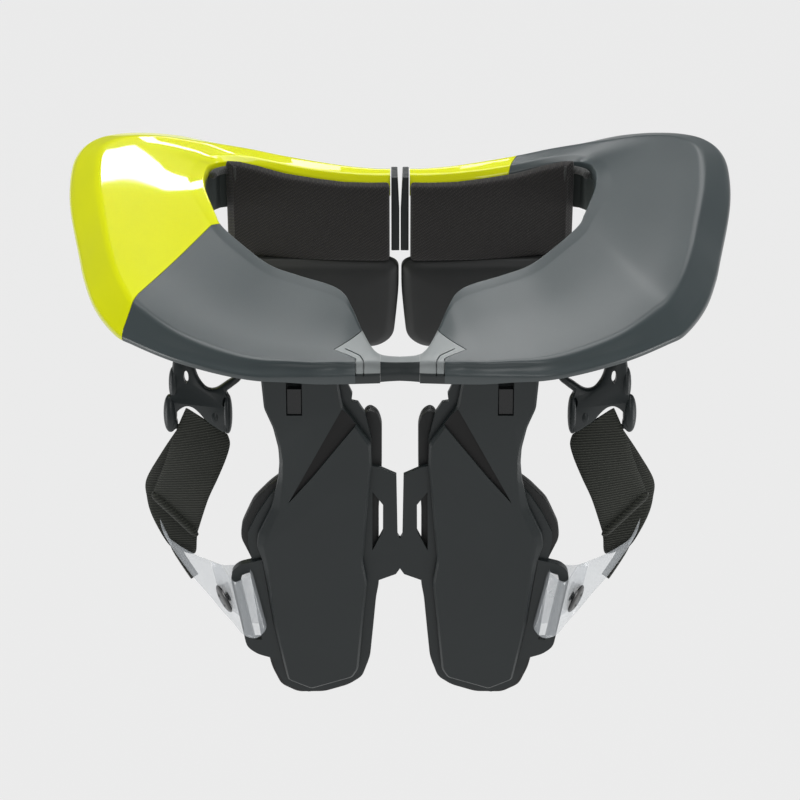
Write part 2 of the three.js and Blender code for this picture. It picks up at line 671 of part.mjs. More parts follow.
// Buckle: its outlines are shares of buckleWidth, out from and up from its middle
const buckleMiddle = new THREE.Vector3(98.5, -76, -19);
const femaleRows = [
  [0.350, 1.350], [0.100, 1.350], [0.045, 0.390], [-0.060, 0.240], [-0.180, 0.200],
  [-0.330, 0.270], [-0.450, 0.430], [-0.470, 1.350], [-0.600, 1.350], [-0.580, 0.340],
  [-0.440, 0.150], [-0.470, 0.000], [-0.465, -0.330], [-0.365, -0.380], [-0.260, -0.180],
  [-0.120, -0.050], [0.060, -0.030], [0.210, -0.150], [0.320, -0.270], [0.440, -0.210],
  [0.485, 0.030], [0.410, 0.300],
];
const outerLobeRows = [
  [0.512, 0.000], [0.564, -0.180], [0.552, -0.520], [0.480, -0.660], [0.375, -0.640],
  [0.375, -0.320], [0.452, -0.232],
];
const innerLobeRows = [
  [-0.365, -0.400], [-0.473, -0.350], [-0.480, -0.600], [-0.400, -0.660], [-0.365, -0.600],
];
const barDrop = 0.51;

const buckleOutline = (rows) => rows.map(([out, up]) => [out * buckleWidth, up * buckleWidth]);
const buckleSolid = (outline, thickness, bevel = 0) => turned(
  slab(outline, -thickness / 2, thickness / 2, bevel),
  upright(0, 0).setPosition(buckleMiddle),
);

function addBuckles() {
  const female = buckleSolid(buckleOutline(femaleRows), buckleThickness, 1);
  addPair('buckle_female', female.subtract(cover), materials.black);
  const level = -barDrop * buckleWidth;
  const end = 0.42 * buckleWidth;
  const bar = buckleSolid([
    [-end, level - barThickness / 2], [end, level - barThickness / 2],
    [end, level + barThickness / 2], [-end, level + barThickness / 2],
  ], barThickness);
  const male = bar
    .add(buckleSolid(buckleOutline(outerLobeRows), buckleThickness, 0.8))
    .add(buckleSolid(buckleOutline(innerLobeRows), buckleThickness, 0.8));
  addPair('buckle_male', male, materials.black);
}

// Elastic: the short end hangs in front of the long one, both round the buckle's bar.
// Places are shares of buckleWidth from the bar's middle, and width is a share of strapWidth
const elasticRows = [
  { at: [0.470, -0.160, -1.480], across: [-0.73, -0.37, -0.57], width: 1.00 },
  { at: [0.330, -0.145, -1.020], across: [-0.80, -0.28, -0.50], width: 1.00 },
  { at: [0.170, -0.125, -0.540], across: [-0.90, -0.15, -0.35], width: 0.92 },
  { at: [0.010, -0.108, -0.160], across: [-1.00, 0.00, -0.03], width: 0.79 },
  { at: [0.000, -0.108, 0.000], across: [-1.00, 0.00, 0.00], width: 0.79 },
  { at: [0.000, -0.080, 0.080], across: [-1.00, 0.00, 0.00], width: 0.79 },
  { at: [0.000, 0.000, 0.112], across: [-1.00, 0.00, 0.00], width: 0.79 },
  { at: [0.000, 0.080, 0.080], across: [-1.00, 0.00, 0.00], width: 0.79 },
  { at: [0.000, 0.108, 0.000], across: [-1.00, 0.00, 0.00], width: 0.79 },
  { at: [0.015, 0.110, -0.160], across: [-1.00, 0.00, -0.03], width: 0.79 },
  { at: [0.230, 0.080, -0.480], across: [-0.90, -0.15, -0.35], width: 0.92 },
  { at: [0.430, 0.020, -0.920], across: [-0.80, -0.28, -0.50], width: 1.00 },
  { at: [0.530, -0.040, -1.430], across: [-0.76, -0.30, -0.56], width: 1.00 },
  { at: [0.410, -0.030, -1.930], across: [-0.66, -0.66, -0.30], width: 1.00 },
  { at: [0.230, -0.110, -2.280], across: [-0.52, -0.74, 0.25], width: 1.00 },
  { at: [0.070, -0.290, -2.500], across: [-0.33, -0.60, 0.73], width: 0.80 },
];

// Clear strap: forward and rise are shares of strapWidth, outward of clearLoopRadius, all from
// the loop bar's middle. twist turns the strap from the bar's direction to clearEndAcross
const clearOutward = [0.714, -0.700, 0];
const clearEndAcross = [-0.06, 0.75, -0.65];
const clearRows = [
  [1.875, 1.00, 0.80, 0.60], [1.490, 1.00, 0.60, 0.50], [0.960, 1.00, 0.38, 0.30],
  [0.700, 1.00, 0.27, 0.00], [0.375, 1.00, 0.16, 0.00], [0.180, 1.00, 0.08, 0.00],
  [0.000, 1.00, 0.04, 0.00], [-0.089, 0.87, 0.04, 0.00], [-0.155, 0.50, 0.04, 0.00],
  [-0.179, 0.00, 0.04, 0.00], [-0.155, -0.50, 0.04, 0.00], [-0.089, -0.87, 0.04, 0.00],
  [0.000, -1.00, 0.04, 0.00], [0.138, -0.70, 0.05, 0.00], [0.200, 0.00, 0.08, 0.00],
  [0.236, 0.46, 0.10, 0.00], [0.290, 0.56, 0.13, 0.00], [0.375, 0.56, 0.16, 0.00],
  [0.700, 0.56, 0.27, 0.00],
];
const rivetForward = 0.375;
const rivetRise = 0.18;

// The loop's bar, between the long sides of its two outlines
function loopBar() {
  const ends = [[loopOuter[3], loopInner[2]], [loopOuter[4], loopInner[3]]];
  const [top, bottom] = ends.map(([outer, inner]) => new THREE.Vector3(
    ((outer[0] + inner[0]) / 2) * wingReach,
    ((outer[1] + inner[1]) / 2) * wingDrop,
    loopThickness / 2,
  ).applyMatrix4(wingMatrix));
  return { middle: top.clone().lerp(bottom, 0.5), down: bottom.clone().sub(top).normalize() };
}

function addStraps() {
  const bar = buckleMiddle.clone().add(new THREE.Vector3(0, 0, -barDrop * buckleWidth));
  const elastic = ribbon(elasticRows.map(({ at, across, width }) => ({
    at: at.map((share, i) => bar.getComponent(i) + share * buckleWidth),
    across,
    width: width * strapWidth,
  })), elasticThickness, 2);

  const { middle, down } = loopBar();
  // outward points away from the body, forward along the strap towards the wearer's front
  const outward = new THREE.Vector3(...clearOutward);
  outward.addScaledVector(down, -outward.dot(down)).normalize();
  const forward = new THREE.Vector3().crossVectors(down, outward);
  if (forward.y < 0) {
    forward.negate();
  }
  const at = (f, o, rise) => middle.clone().addScaledVector(forward, f * strapWidth)
    .addScaledVector(outward, o * clearLoopRadius)
    .add(new THREE.Vector3(0, 0, rise * strapWidth));
  const rows = clearRows.map(([f, o, rise, twist]) => ({
    at: at(f, o, rise).toArray(),
    across: down.clone().lerp(new THREE.Vector3(...clearEndAcross), twist).toArray(),
    width: strapWidth,
  }));
  const clear = ribbon(rows, clearThickness, 1);

  const rivetRadius = rivetDiameter / 2;
  const face = clearThickness / 2 + gap;
  const back = clearThickness * 1.5 + gap * 3;
  const backRadius = rivetRadius * 0.33;
  const profile = [
    [0, face + rivetHead], [rivetRadius * 0.6, face + rivetHead * 0.85],
    [rivetRadius, face + rivetRim], [rivetRadius, face], [rivetPin, face], [rivetPin, -back],
    [backRadius, -back], [backRadius, -back - rivetRim], [0, -back - rivetRim],
  ].reverse().map(([x, y]) => new THREE.Vector2(x, y));
  const hole = new THREE.CylinderGeometry(rivetPin + gap, rivetPin + gap, buckleThickness, 12);
  const frame = new THREE.Matrix4().makeBasis(
    new THREE.Vector3().crossVectors(down, outward), outward, down.clone().negate(),
  ).setPosition(at(rivetForward, 1, rivetRise));
  const rivet = new THREE.LatheGeometry(profile, 16);
  addPair('elastic_strap', elastic, materials.elastic);
  addPair('clear_strap', clear.subtract(turned(toSolid(hole), frame)), materials.clear);
  addPair('rivet', turned(toSolid(rivet), frame), materials.black);
}

addShells();
addHinge();
addFrontFrame();
addPads();
addLatch();
addPlate();
addYoke();
addWingPads();
addBuckles();
addStraps();

export default group;
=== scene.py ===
import math

import bmesh
import bpy
import numpy as np
from mathutils import Matrix, Vector


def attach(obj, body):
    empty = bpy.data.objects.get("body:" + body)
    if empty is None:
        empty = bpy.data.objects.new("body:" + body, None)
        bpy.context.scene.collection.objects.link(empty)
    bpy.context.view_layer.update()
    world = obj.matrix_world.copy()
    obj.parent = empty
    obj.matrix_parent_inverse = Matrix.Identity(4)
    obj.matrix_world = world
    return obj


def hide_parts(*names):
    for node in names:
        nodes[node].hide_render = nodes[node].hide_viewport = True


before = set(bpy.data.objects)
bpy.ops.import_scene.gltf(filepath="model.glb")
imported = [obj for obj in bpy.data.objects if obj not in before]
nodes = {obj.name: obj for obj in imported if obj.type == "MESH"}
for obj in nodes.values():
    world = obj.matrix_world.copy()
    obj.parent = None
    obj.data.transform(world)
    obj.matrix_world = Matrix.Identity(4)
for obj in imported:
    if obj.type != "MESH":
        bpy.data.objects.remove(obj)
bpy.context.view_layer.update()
MM = 0.001

# Sizes in millimetres, the same as the frame's
COLLAR_HALF_WIDTH = 177
COLLAR_FRONT = 131
COLLAR_REAR = 106
OPENING_HALF_WIDTH = 102.5
OPENING_FRONT = 96
OPENING_REAR = 99
LIP_HEIGHT = 28
SHELL_WALL = 3
EDGE_ROLL = 3
FOOT_INSET = 0.6
LIP_ROUND = 1.6
BEVEL_WIDTH = 8
BRIDGE_HALF_WIDTH = 9.2
HINGE_GROOVE = 0.7
NECK_PAD_THICKNESS = 8
NECK_PAD_DROP = 32
CHEST_PAD_THICKNESS = 11
CHEST_PAD_TOP = -33.5
CHEST_PAD_HEIGHT = 54
CHEST_PAD_WIDTH = 74
WING_TILT = math.radians(10)
WING_PLANE_Y = -92
WING_REACH = 80
WING_DROP = 165
WING_PAD_THICKNESS = 10
ELASTIC_THICKNESS = 2
CLEAR_THICKNESS = 1.5
RIVET_RADIUS = 7.7
RIVET_HEAD = 2
GAP = 0.35
SIDES = ("right", "left")
CUT, KEEP = "DIFFERENCE", "INTERSECT"

# Camera: the photograph's place, 33 degrees above the object
LENS = 135
SENSOR = 36
CAMERA_PLACE = Vector((0, -1.322, 0.791))
CAMERA_TARGET = Vector((0, -0.095, -0.006))


# Meshes

def new_object(name, points, faces, finish, sharp=35):
    """A smooth-shaded object from points in millimetres, with edges over that angle kept sharp."""
    mesh = bpy.data.meshes.new(name)
    mesh.from_pydata([tuple(c * MM for c in p) for p in points], [], faces)
    mesh.validate()
    mesh.shade_smooth()
    mesh.set_sharp_from_angle(angle=math.radians(sharp))
    mesh.materials.append(finish)
    obj = bpy.data.objects.new(name, mesh)
    bpy.context.scene.collection.objects.link(obj)
    return obj


def spline(before, start, end, after, t):
    """A smooth curve from start to end, which also heeds the values before and after them."""
    return 0.5 * (2 * start + (end - before) * t
                  + (2 * before - 5 * start + 4 * end - after) * t ** 2
                  + (3 * start - before - 3 * end + after) * t ** 3)


def loft(rings):
    """Points and faces of a closed body through rings of equal point counts."""
    count = len(rings[0])
    points = [tuple(p) for ring in rings for p in ring]
    faces = []
    for r in range(len(rings) - 1):
        for i in range(count):
            a = r * count + i
            b = r * count + (i + 1) % count
            faces.append((a, b, b + count, a + count))
    last = (len(rings) - 1) * count
    faces.append(tuple(range(count - 1, -1, -1)))
    faces.append(tuple(last + i for i in range(count)))
    return points, faces


def mirrored(points, faces):
    """The same body on the other side of the brace."""
    return [(-x, y, z) for x, y, z in points], [tuple(reversed(f)) for f in faces]


def outward(obj):
    """Turns all faces of a closed object outwards."""
    work = bmesh.new()
    work.from_mesh(obj.data)
    bmesh.ops.recalc_face_normals(work, faces=work.faces)
    work.to_mesh(obj.data)
    work.free()
    return obj


def rounded(points, radius, steps=4):
    """Rounds the corners of a closed outline of 2-D points; radius is one number or one per point."""
    result = []
    count = len(points)
    for i, point in enumerate(points):
        r = radius[i] if hasattr(radius, "__len__") else radius
        p = np.array(point, float)
        before = np.array(points[i - 1], float) - p
        after = np.array(points[(i + 1) % count], float) - p
        long_before = np.linalg.norm(before)
        long_after = np.linalg.norm(after)
        cut = min(r, long_before * 0.48, long_after * 0.48)
        start = p + before / long_before * cut
        end = p + after / long_after * cut
        for s in range(steps + 1):
            t = s / steps
            result.append(tuple((1 - t) ** 2 * start + 2 * t * (1 - t) * p + t * t * end))
    return result


def inset(points, amount):
    """Moves the points of a closed outline inwards by one amount, or by one each."""
    pts = np.array(points, float)
    area = 0.5 * np.sum(pts[:, 0] * np.roll(pts[:, 1], -1) - np.roll(pts[:, 0], -1) * pts[:, 1])
    chord = np.roll(pts, -1, axis=0) - np.roll(pts, 1, axis=0)
    length = np.maximum(np.hypot(chord[:, 0], chord[:, 1]), 1e-6)
    normal = np.stack([-chord[:, 1], chord[:, 0]], axis=1) / length[:, None]
    amounts = np.reshape(amount, (-1, 1))
    return pts + normal * (amounts * (1 if area > 0 else -1))


def put(matrix, points):
    return [tuple(matrix @ Vector(p)) for p in points]


def pair(name, build, finish, replaces=True, sharp=35):
    """Builds the right-hand piece and its mirror for the left, and hides the CAD pieces."""
    body = build()
    for side in SIDES:
        node = f"{name}_{side}"
        points, faces = body if side == "right" else mirrored(*body)
        obj = outward(new_object(node + "_look", points, faces, finish, sharp))
        if replaces:
            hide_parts(node)
        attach(obj, "root")


def set_finishes(obj, *finishes):
    obj.data.materials.clear()
    for finish in finishes:
        obj.data.materials.append(finish)


def stand_in(obj, node, sharp, left=False):
    """Shades a piece, flips it if it is the left one, and puts it in the place of its CAD node."""
    if left:
        obj.data.transform(Matrix.Scale(-1, 4, (1, 0, 0)))
        obj.data.flip_normals()
    obj.data.shade_smooth()
    obj.data.set_sharp_from_angle(angle=math.radians(sharp))
    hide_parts(node)
    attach(obj, "root")


# Materials

def shader(name, color, roughness, **sockets):
    finish = bpy.data.materials.new(name)
    finish.use_nodes = True
    node = finish.node_tree.nodes["Principled BSDF"]
    node.inputs["Base Color"].default_value = (*color, 1)
    node.inputs["Roughness"].default_value = roughness
    for socket, value in sockets.items():
        node.inputs[socket.replace("_", " ")].default_value = value
    return finish


def add_node(finish, kind, **values):
    node = finish.node_tree.nodes.new(kind)
    for key, value in values.items():
        if key in node.inputs:
            node.inputs[key].default_value = value
        else:
            setattr(node, key, value)
    return node


def link(finish, a, b):
    finish.node_tree.links.new(a, b)


def vary(finish, color, dark, scale, rough):
    """Mottles the colour between two values and the roughness between two values."""
    place = add_node(finish, "ShaderNodeTexCoord")
    noise = add_node(finish, "ShaderNodeTexNoise", Scale=scale, Detail=5.0)
    link(finish, place.outputs["Object"], noise.inputs["Vector"])
    ramp = add_node(finish, "ShaderNodeValToRGB")
    ramp.color_ramp.elements[0].position = 0.3
    ramp.color_ramp.elements[0].color = (*dark, 1)
    ramp.color_ramp.elements[1].position = 0.7
    ramp.color_ramp.elements[1].color = (*color, 1)
    link(finish, noise.outputs["Fac"], ramp.inputs["Fac"])
    shade = finish.node_tree.nodes["Principled BSDF"]
    link(finish, ramp.outputs["Color"], shade.inputs["Base Color"])
    spread = add_node(finish, "ShaderNodeMapRange")
    spread.inputs["To Min"].default_value = rough[0]
    spread.inputs["To Max"].default_value = rough[1]
    link(finish, noise.outputs["Fac"], spread.inputs["Value"])
    link(finish, spread.outputs["Result"], shade.inputs["Roughness"])
    return place


def grain(finish, place, scale, depth, strength=0.3):
    """Fine moulded grain."""
    noise = add_node(finish, "ShaderNodeTexNoise", Scale=scale, Detail=3.0)
    link(finish, place.outputs["Object"], noise.inputs["Vector"])
    bump = add_node(finish, "ShaderNodeBump", Strength=strength, Distance=depth)
    link(finish, noise.outputs["Fac"], bump.inputs["Height"])
    link(finish, bump.outputs["Normal"], finish.node_tree.nodes["Principled BSDF"].inputs["Normal"])


def plastic(name, color, dark, rough, grain_scale, grain_depth, **sockets):
    finish = shader(name, color, sum(rough) / 2, **sockets)
    place = vary(finish, color, dark, 30, rough)
    grain(finish, place, grain_scale, grain_depth)
    return finish


yellow = plastic("yellow_gloss", (0.76, 0.80, 0.0), (0.73, 0.77, 0.0), (0.30, 0.36), 900, 0.00001,
                 Specular_IOR_Level=0.1, Coat_Weight=1.0, Coat_Roughness=0.03)
graphite = plastic("graphite_satin", (0.054, 0.068, 0.071), (0.049, 0.062, 0.065), (0.30, 0.36),
                   1500, 0.00004, Specular_IOR_Level=0.6)
silver = plastic("hinge_satin", (0.27, 0.29, 0.29), (0.25, 0.27, 0.27), (0.36, 0.42), 1500, 0.00004)
black = plastic("black_plastic", (0.018, 0.024, 0.025), (0.015, 0.020, 0.021), (0.36, 0.46),
                2200, 0.00006)
foam = plastic("foam_skin", (0.017, 0.018, 0.018), (0.012, 0.013, 0.013), (0.50, 0.62), 1400, 0.0001)
frame_grey = plastic("frame_grey", (0.052, 0.062, 0.060), (0.044, 0.052, 0.050), (0.40, 0.50), 1800, 0.00005)
# Near-black painted shade for the floor of the wing plates' recess
painted_recess_shade = plastic("painted_recess_shade", (0.004, 0.003, 0.003), (0.002, 0.002, 0.002), (0.55, 0.65),
                      1800, 0.00004)
rubber_black = plastic("gloss_black", (0.012, 0.013, 0.014), (0.009, 0.010, 0.011), (0.22, 0.30),
                       1200, 0.00003)


# A wave texture of scale 1 has this many metres to a band
WAVE_LENGTH = 2 * math.pi / 20


def woven(name, color, dark, rough, pitch, slant, depth, across=1.6):
    """A weave with ribs along z, and across them along x unless across is 0; pitch in metres."""
    finish = shader(name, color, rough, Sheen_Weight=0.15, Sheen_Roughness=0.5)
    shade = finish.node_tree.nodes["Principled BSDF"]
    place = add_node(finish, "ShaderNodeTexCoord")
    turn = add_node(finish, "ShaderNodeMapping")
    turn.inputs["Rotation"].default_value = (0, slant, 0)
    link(finish, place.outputs["Object"], turn.inputs["Vector"])
    waves = []
    for axis, share in (("Z", 1.0), ("X", across)) if across else (("Z", 1.0), ("Z", 1.0)):
        wave = add_node(finish, "ShaderNodeTexWave", Scale=share * WAVE_LENGTH / (2 * pitch))
        wave.bands_direction = axis
        wave.inputs["Distortion"].default_value = 0.4
        link(finish, turn.outputs["Vector"], wave.inputs["Vector"])
        waves.append(wave)
    mix = add_node(finish, "ShaderNodeMath", operation="MULTIPLY")
    link(finish, waves[0].outputs["Fac"], mix.inputs[0])
    link(finish, waves[1].outputs["Fac"], mix.inputs[1])
    ramp = add_node(finish, "ShaderNodeValToRGB")
    ramp.color_ramp.elements[0].color = (*dark, 1)
    ramp.color_ramp.elements[1].color = (*color, 1)
    link(finish, mix.outputs[0], ramp.inputs["Fac"])
    link(finish, ramp.outputs["Color"], shade.inputs["Base Color"])
    bump = add_node(finish, "ShaderNodeBump", Strength=0.7, Distance=depth)
    link(finish, mix.outputs[0], bump.inputs["Height"])
    link(finish, bump.outputs["Normal"], shade.inputs["Normal"])
    return finish


fabric = woven("pad_weave", (0.024, 0.020, 0.017), (0.006, 0.005, 0.005), 0.85, 0.0008, 0.6, 0.0003)
elastic = woven("elastic_rib", (0.046, 0.050, 0.037), (0.013, 0.015, 0.011), 0.8, 0.0007, 0.12, 0.0004, 0.0)
binding = woven("pad_binding", (0.050, 0.052, 0.050), (0.026, 0.027, 0.026), 0.8, 0.0006, 1.1, 0.0002)
clear = shader("clear_strap", (0.80, 0.84, 0.87), 0.12, Alpha=0.30, Coat_Weight=0.5, Coat_Roughness=0.05)
clear_place = vary(clear, (0.82, 0.86, 0.89), (0.74, 0.78, 0.82), 60, (0.08, 0.18))
grain(clear, clear_place, 300, 0.0001, 0.2)
floor_finish = shader("pale_floor", (0.02, 0.02, 0.02), 0.9, Specular_IOR_Level=0.0,
                      Emission_Color=(0.82, 0.82, 0.82, 1), Emission_Strength=1.0)


# Collar: the frame's stations with finer, rounded sections, from the middle of the back round the
# side to the middle of the front. Places are shares of the opening's and the collar's sizes, heights,
# sag, wall and inner of LIP_HEIGHT, crease of the way out, and bevel and rise of BEVEL_WIDTH.
COLUMNS = ["lip_x", "lip_y", "lip_z", "edge_x", "edge_y", "edge_z",
           "crease", "crease_z", "bevel", "rise", "sag", "wall", "inner"]
STATIONS = [
    [0.000, -1.005, 0.79, 0.000, -0.990, 0.61, 0.62, 0.72, 0.10, -0.02, 0.00, 0.26, 0.24],
    [0.105, -0.985, 0.82, 0.058, -0.995, 0.61, 0.66, 0.73, 0.12, -0.02, 0.00, 0.26, 0.24],
    [0.170, -0.820, 0.87, 0.124, -1.000, 0.61, 0.88, 0.75, 0.30, -0.10, 0.01, 0.26, 0.28],
    [0.230, -0.590, 0.93, 0.184, -1.003, 0.61, 0.93, 0.75, 0.40, -0.12, 0.03, 0.26, 0.30],
    [0.272, -0.466, 0.95, 0.237, -1.003, 0.60, 0.95, 0.75, 0.80, -0.14, 0.04, 0.25, 0.32],
    [0.345, -0.384, 0.95, 0.306, -0.996, 0.58, 0.95, 0.75, 1.00, -0.15, 0.05, 0.21, 0.32],
    [0.488, -0.300, 0.95, 0.401, -0.986, 0.56, 0.94, 0.75, 1.00, -0.15, 0.05, 0.17, 0.32],
    [0.640, -0.192, 0.96, 0.502, -0.925, 0.54, 0.93, 0.76, 1.00, -0.15, 0.05, 0.16, 0.32],
    [0.794, 0.030, 0.97, 0.630, -0.800, 0.50, 0.92, 0.79, 1.00, -0.15, 0.05, 0.16, 0.32],
    [0.892, 0.206, 0.98, 0.745, -0.640, 0.45, 0.88, 0.83, 1.00, -0.14, 0.04, 0.16, 0.32],
    [0.923, 0.312, 0.99, 0.806, -0.525, 0.42, 0.86, 0.86, 1.00, -0.14, 0.04, 0.17, 0.32],
    [0.953, 0.433, 1.00, 0.879, -0.260, 0.42, 0.82, 0.88, 1.05, -0.13, 0.04, 0.18, 0.32],
    [0.988, 0.590, 1.00, 0.941, 0.150, 0.48, 0.80, 0.90, 1.10, -0.13, 0.03, 0.24, 0.32],
    [0.999, 0.690, 1.00, 0.988, 0.500, 0.55, 0.79, 0.92, 1.10, -0.13, 0.03, 0.32, 0.30],
    [1.001, 0.765, 0.99, 1.000, 0.755, 0.62, 0.79, 0.93, 1.10, -0.12, 0.02, 0.38, 0.28],
    [0.995, 0.830, 0.97, 0.985, 0.885, 0.69, 0.79, 0.93, 1.10, -0.10, 0.01, 0.38, 0.24],
    [0.984, 0.885, 0.94, 0.945, 0.955, 0.75, 0.77, 0.93, 1.05, -0.06, 0.00, 0.38, 0.20],
    [0.968, 0.925, 0.89, 0.879, 0.985, 0.79, 0.75, 0.93, 1.00, 0.00, 0.00, 0.38, 0.17],
    [0.942, 0.968, 0.83, 0.800, 0.990, 0.80, 0.68, 0.93, 0.90, 0.10, 0.00, 0.40, 0.15],
    [0.900, 1.000, 0.78, 0.723, 0.985, 0.79, 0.55, 0.91, 0.75, 0.25, 0.00, 0.44, 0.15],
    [0.839, 1.005, 0.76, 0.621, 0.985, 0.70, 0.50, 0.87, 0.60, 0.30, 0.00, 0.46, 0.15],
    [0.741, 0.995, 0.72, 0.486, 0.998, 0.36, 0.42, 0.80, 0.50, 0.34, 0.00, 0.36, 0.15],
    [0.605, 0.974, 0.62, 0.384, 1.000, 0.14, 0.34, 0.75, 0.46, 0.38, 0.00, 0.32, 0.15],
    [0.459, 0.957, 0.53, 0.277, 1.000, -0.07, 0.29, 0.69, 0.42, 0.42, 0.00, 0.30, 0.15],
    [0.293, 0.946, 0.46, 0.172, 1.000, -0.21, 0.24, 0.63, 0.42, 0.44, 0.00, 0.30, 0.15],
    [0.146, 0.942, 0.43, 0.085, 1.000, -0.28, 0.21, 0.60, 0.42, 0.44, 0.00, 0.30, 0.15],
    [0.051, 0.942, 0.43, 0.030, 1.000, -0.28, 0.20, 0.60, 0.42, 0.44, 0.00, 0.30, 0.15],
]
LAST_STATION = len(STATIONS) - 1
RINGS_PER_STATION = 10
GROOVE_DEPTH = 1.3
SMOOTH_REACH = 0.8
SMOOTH_STEPS = [-1.2, -0.8, -0.4, 0, 0.4, 0.8, 1.2]
HINGE_STATIONS = 7
TOP_RADII = [0.4, 1.4, 0.8, 0.8, 30, 3.0, 2.2, 1.6, 0.4]
UNDER_RADII = [0.4, 1.5, 1.5, 1.5, 1.5, 0.4]
ROUND_STEPS = 5
COLLAR_SHARP = 32
# Below this height the hinge plates' faces get painted shade
HINGE_SHADE_BELOW = 15.5
BRIDGE_ARCH_WIDTH = 14
BRIDGE_ARCH_LOW = 9.6
BRIDGE_ARCH_RISE = 1.6
BRIDGE_SPARE = 0.3


def station_value(column, position):
    row = min(math.floor(position), LAST_STATION - 1)
    near = (STATIONS[max(0, min(LAST_STATION, i))][column] for i in (row - 1, row, row + 1, row + 2))
    return spline(*near, position - row)


def section(position):
    """The section averaged over its neighbours in height, so that reflections run evenly."""
    lip, along, top, under = raw_section(position)
    near = [raw_section(min(max(position + d, 0), LAST_STATION)) for d in SMOOTH_STEPS]
    weight = np.array([math.exp(-(d / SMOOTH_REACH) ** 2) for d in SMOOTH_STEPS])
    weight /= weight.sum()
    fade = min(1, position / 3, (LAST_STATION - position) / 3)
    top_z = sum(w * np.array([q[1] for q in n[2]]) for w, n in zip(weight, near))
    under_z = sum(w * np.array([q[1] for q in n[3]]) for w, n in zip(weight, near))
    top = [(r, z + (e - z) * fade) for (r, z), e in zip(top, top_z)]
    under = [(r, z + (e - z) * fade) for (r, z), e in zip(under, under_z)]
    return lip, along, top, under


def raw_section(position):
    """Lip point, direction to the edge, and the section's top and underside as [out, z]."""
    share = {name: station_value(i, position) for i, name in enumerate(COLUMNS)}
    lip = (share["lip_x"] * OPENING_HALF_WIDTH,
           share["lip_y"] * (OPENING_FRONT if share["lip_y"] > 0 else OPENING_REAR),
           share["lip_z"] * LIP_HEIGHT)
    edge = (share["edge_x"] * COLLAR_HALF_WIDTH,
            share["edge_y"] * (COLLAR_FRONT if share["edge_y"] > 0 else COLLAR_REAR),
            share["edge_z"] * LIP_HEIGHT)
    run = math.hypot(edge[0] - lip[0], edge[1] - lip[1])
    along = ((edge[0] - lip[0]) / run, (edge[1] - lip[1]) / run)
    crease_z = share["crease_z"] * LIP_HEIGHT
    bevel = min(share["bevel"] * BEVEL_WIDTH, run * 0.4)
    bevel_z = lip[2] + share["rise"] * BEVEL_WIDTH
    crease = share["crease"] * run
    middle = bevel + (crease - bevel) * 0.5
    middle_z = (bevel_z + crease_z) * 0.5 - share["sag"] * LIP_HEIGHT
    nose = min(bevel * 0.3, 1)
    edge_bottom = edge[2] - share["wall"] * LIP_HEIGHT
    inner_bottom = lip[2] - share["inner"] * LIP_HEIGHT
    top = [
        (FOOT_INSET, inner_bottom),
        (0, max(lip[2] - LIP_ROUND * 2, inner_bottom + FOOT_INSET)),
        (nose, lip[2]),
        (bevel, bevel_z),
        (middle, middle_z),
        (crease, crease_z),
        (max(run - EDGE_ROLL, crease + 0.5), edge[2] + min(0.8, crease_z - edge[2])),
        (run, edge[2] - EDGE_ROLL * 0.7),
        (run - 0.5, edge_bottom),
    ]
    inner_foot = min(SHELL_WALL + FOOT_INSET, run * 0.4)
    outer_foot = max(run - 0.5 - SHELL_WALL, run * 0.6)

    def hollow(r):
        return min(max(r, inner_foot + 0.2), outer_foot - 0.2)

    under = [
        (outer_foot, edge_bottom),
        (hollow(run - SHELL_WALL - 0.2), edge[2] - EDGE_ROLL * 0.7 - 1),
        (hollow(crease - 1), crease_z - SHELL_WALL),
        (hollow(middle), middle_z - SHELL_WALL),
        (hollow(bevel), bevel_z - SHELL_WALL),
        (inner_foot, inner_bottom),
    ]
    return lip, along, top, under


def collar_half(kind="hollow", last=LAST_STATION):
    """Points and faces of one half of the collar: hollow, solid, or the room above its skin."""
    rings = []
    for i in range(last * RINGS_PER_STATION + 1):
        lip, along, top, under = section(i / RINGS_PER_STATION)
        if kind == "hollow":
            outline = rounded(top + under, TOP_RADII + UNDER_RADII, ROUND_STEPS)
        elif kind == "solid":
            outline = rounded(top, TOP_RADII, ROUND_STEPS)
        else:
            skin = rounded(top, TOP_RADII, ROUND_STEPS)[ROUND_STEPS + 1:-ROUND_STEPS - 1]
            deep = [tuple(q) for q in inset(skin, GROOVE_DEPTH)]
            outline = deep + [(skin[-1][0] + 20, skin[-1][1]), (skin[-1][0] + 20, 70), (-20, 70),
                              (-20, skin[0][1])]
        rings.append([(lip[0] + along[0] * r, lip[1] + along[1] * r, z) for r, z in outline])
    return loft(rings)


def plan(rows):
    return [(x * COLLAR_HALF_WIDTH, y * COLLAR_REAR) for x, y in rows]


HINGE_SEAT = plan([
    [-0.100, -0.900], [0.092, -0.725], [0.182, -0.872], [0.1225, -0.946], [0.1205, -1.100],
    [-0.100, -1.100],
])
HINGE_GROOVE_LINE = plan([
    [0.150, -0.868], [0.108, -0.926], [0.099, -0.965], [0.099, -1.100],
])
PAINT_BORDER = plan([
    [0.500, 0.190], [0.548, 0.188], [0.733, -0.410], [0.752, -0.500], [0.772, -0.560],
    [0.790, -0.700], [1.200, -0.700], [1.200, 1.400], [-0.100, 1.400], [-0.100, 0.500],
])
TIP_BORDER = plan([
    [0.310, 0.800], [0.362, 1.030], [0.400, 1.300], [-0.100, 1.300], [-0.100, 0.800],
])


def strip(line, width):
    """A strip of even width along an open line, as one outline."""
    sides = []
    for sign in (1, -1):
        side = []
        for i, point in enumerate(line):
            a = line[max(0, i - 1)]
            b = line[min(len(line) - 1, i + 1)]
            length = math.hypot(b[0] - a[0], b[1] - a[1])
            offset = sign * width / 2 / length
            side.append((point[0] - (b[1] - a[1]) * offset, point[1] + (b[0] - a[0]) * offset))
        sides.append(side)
    return sides[0] + sides[1][::-1]


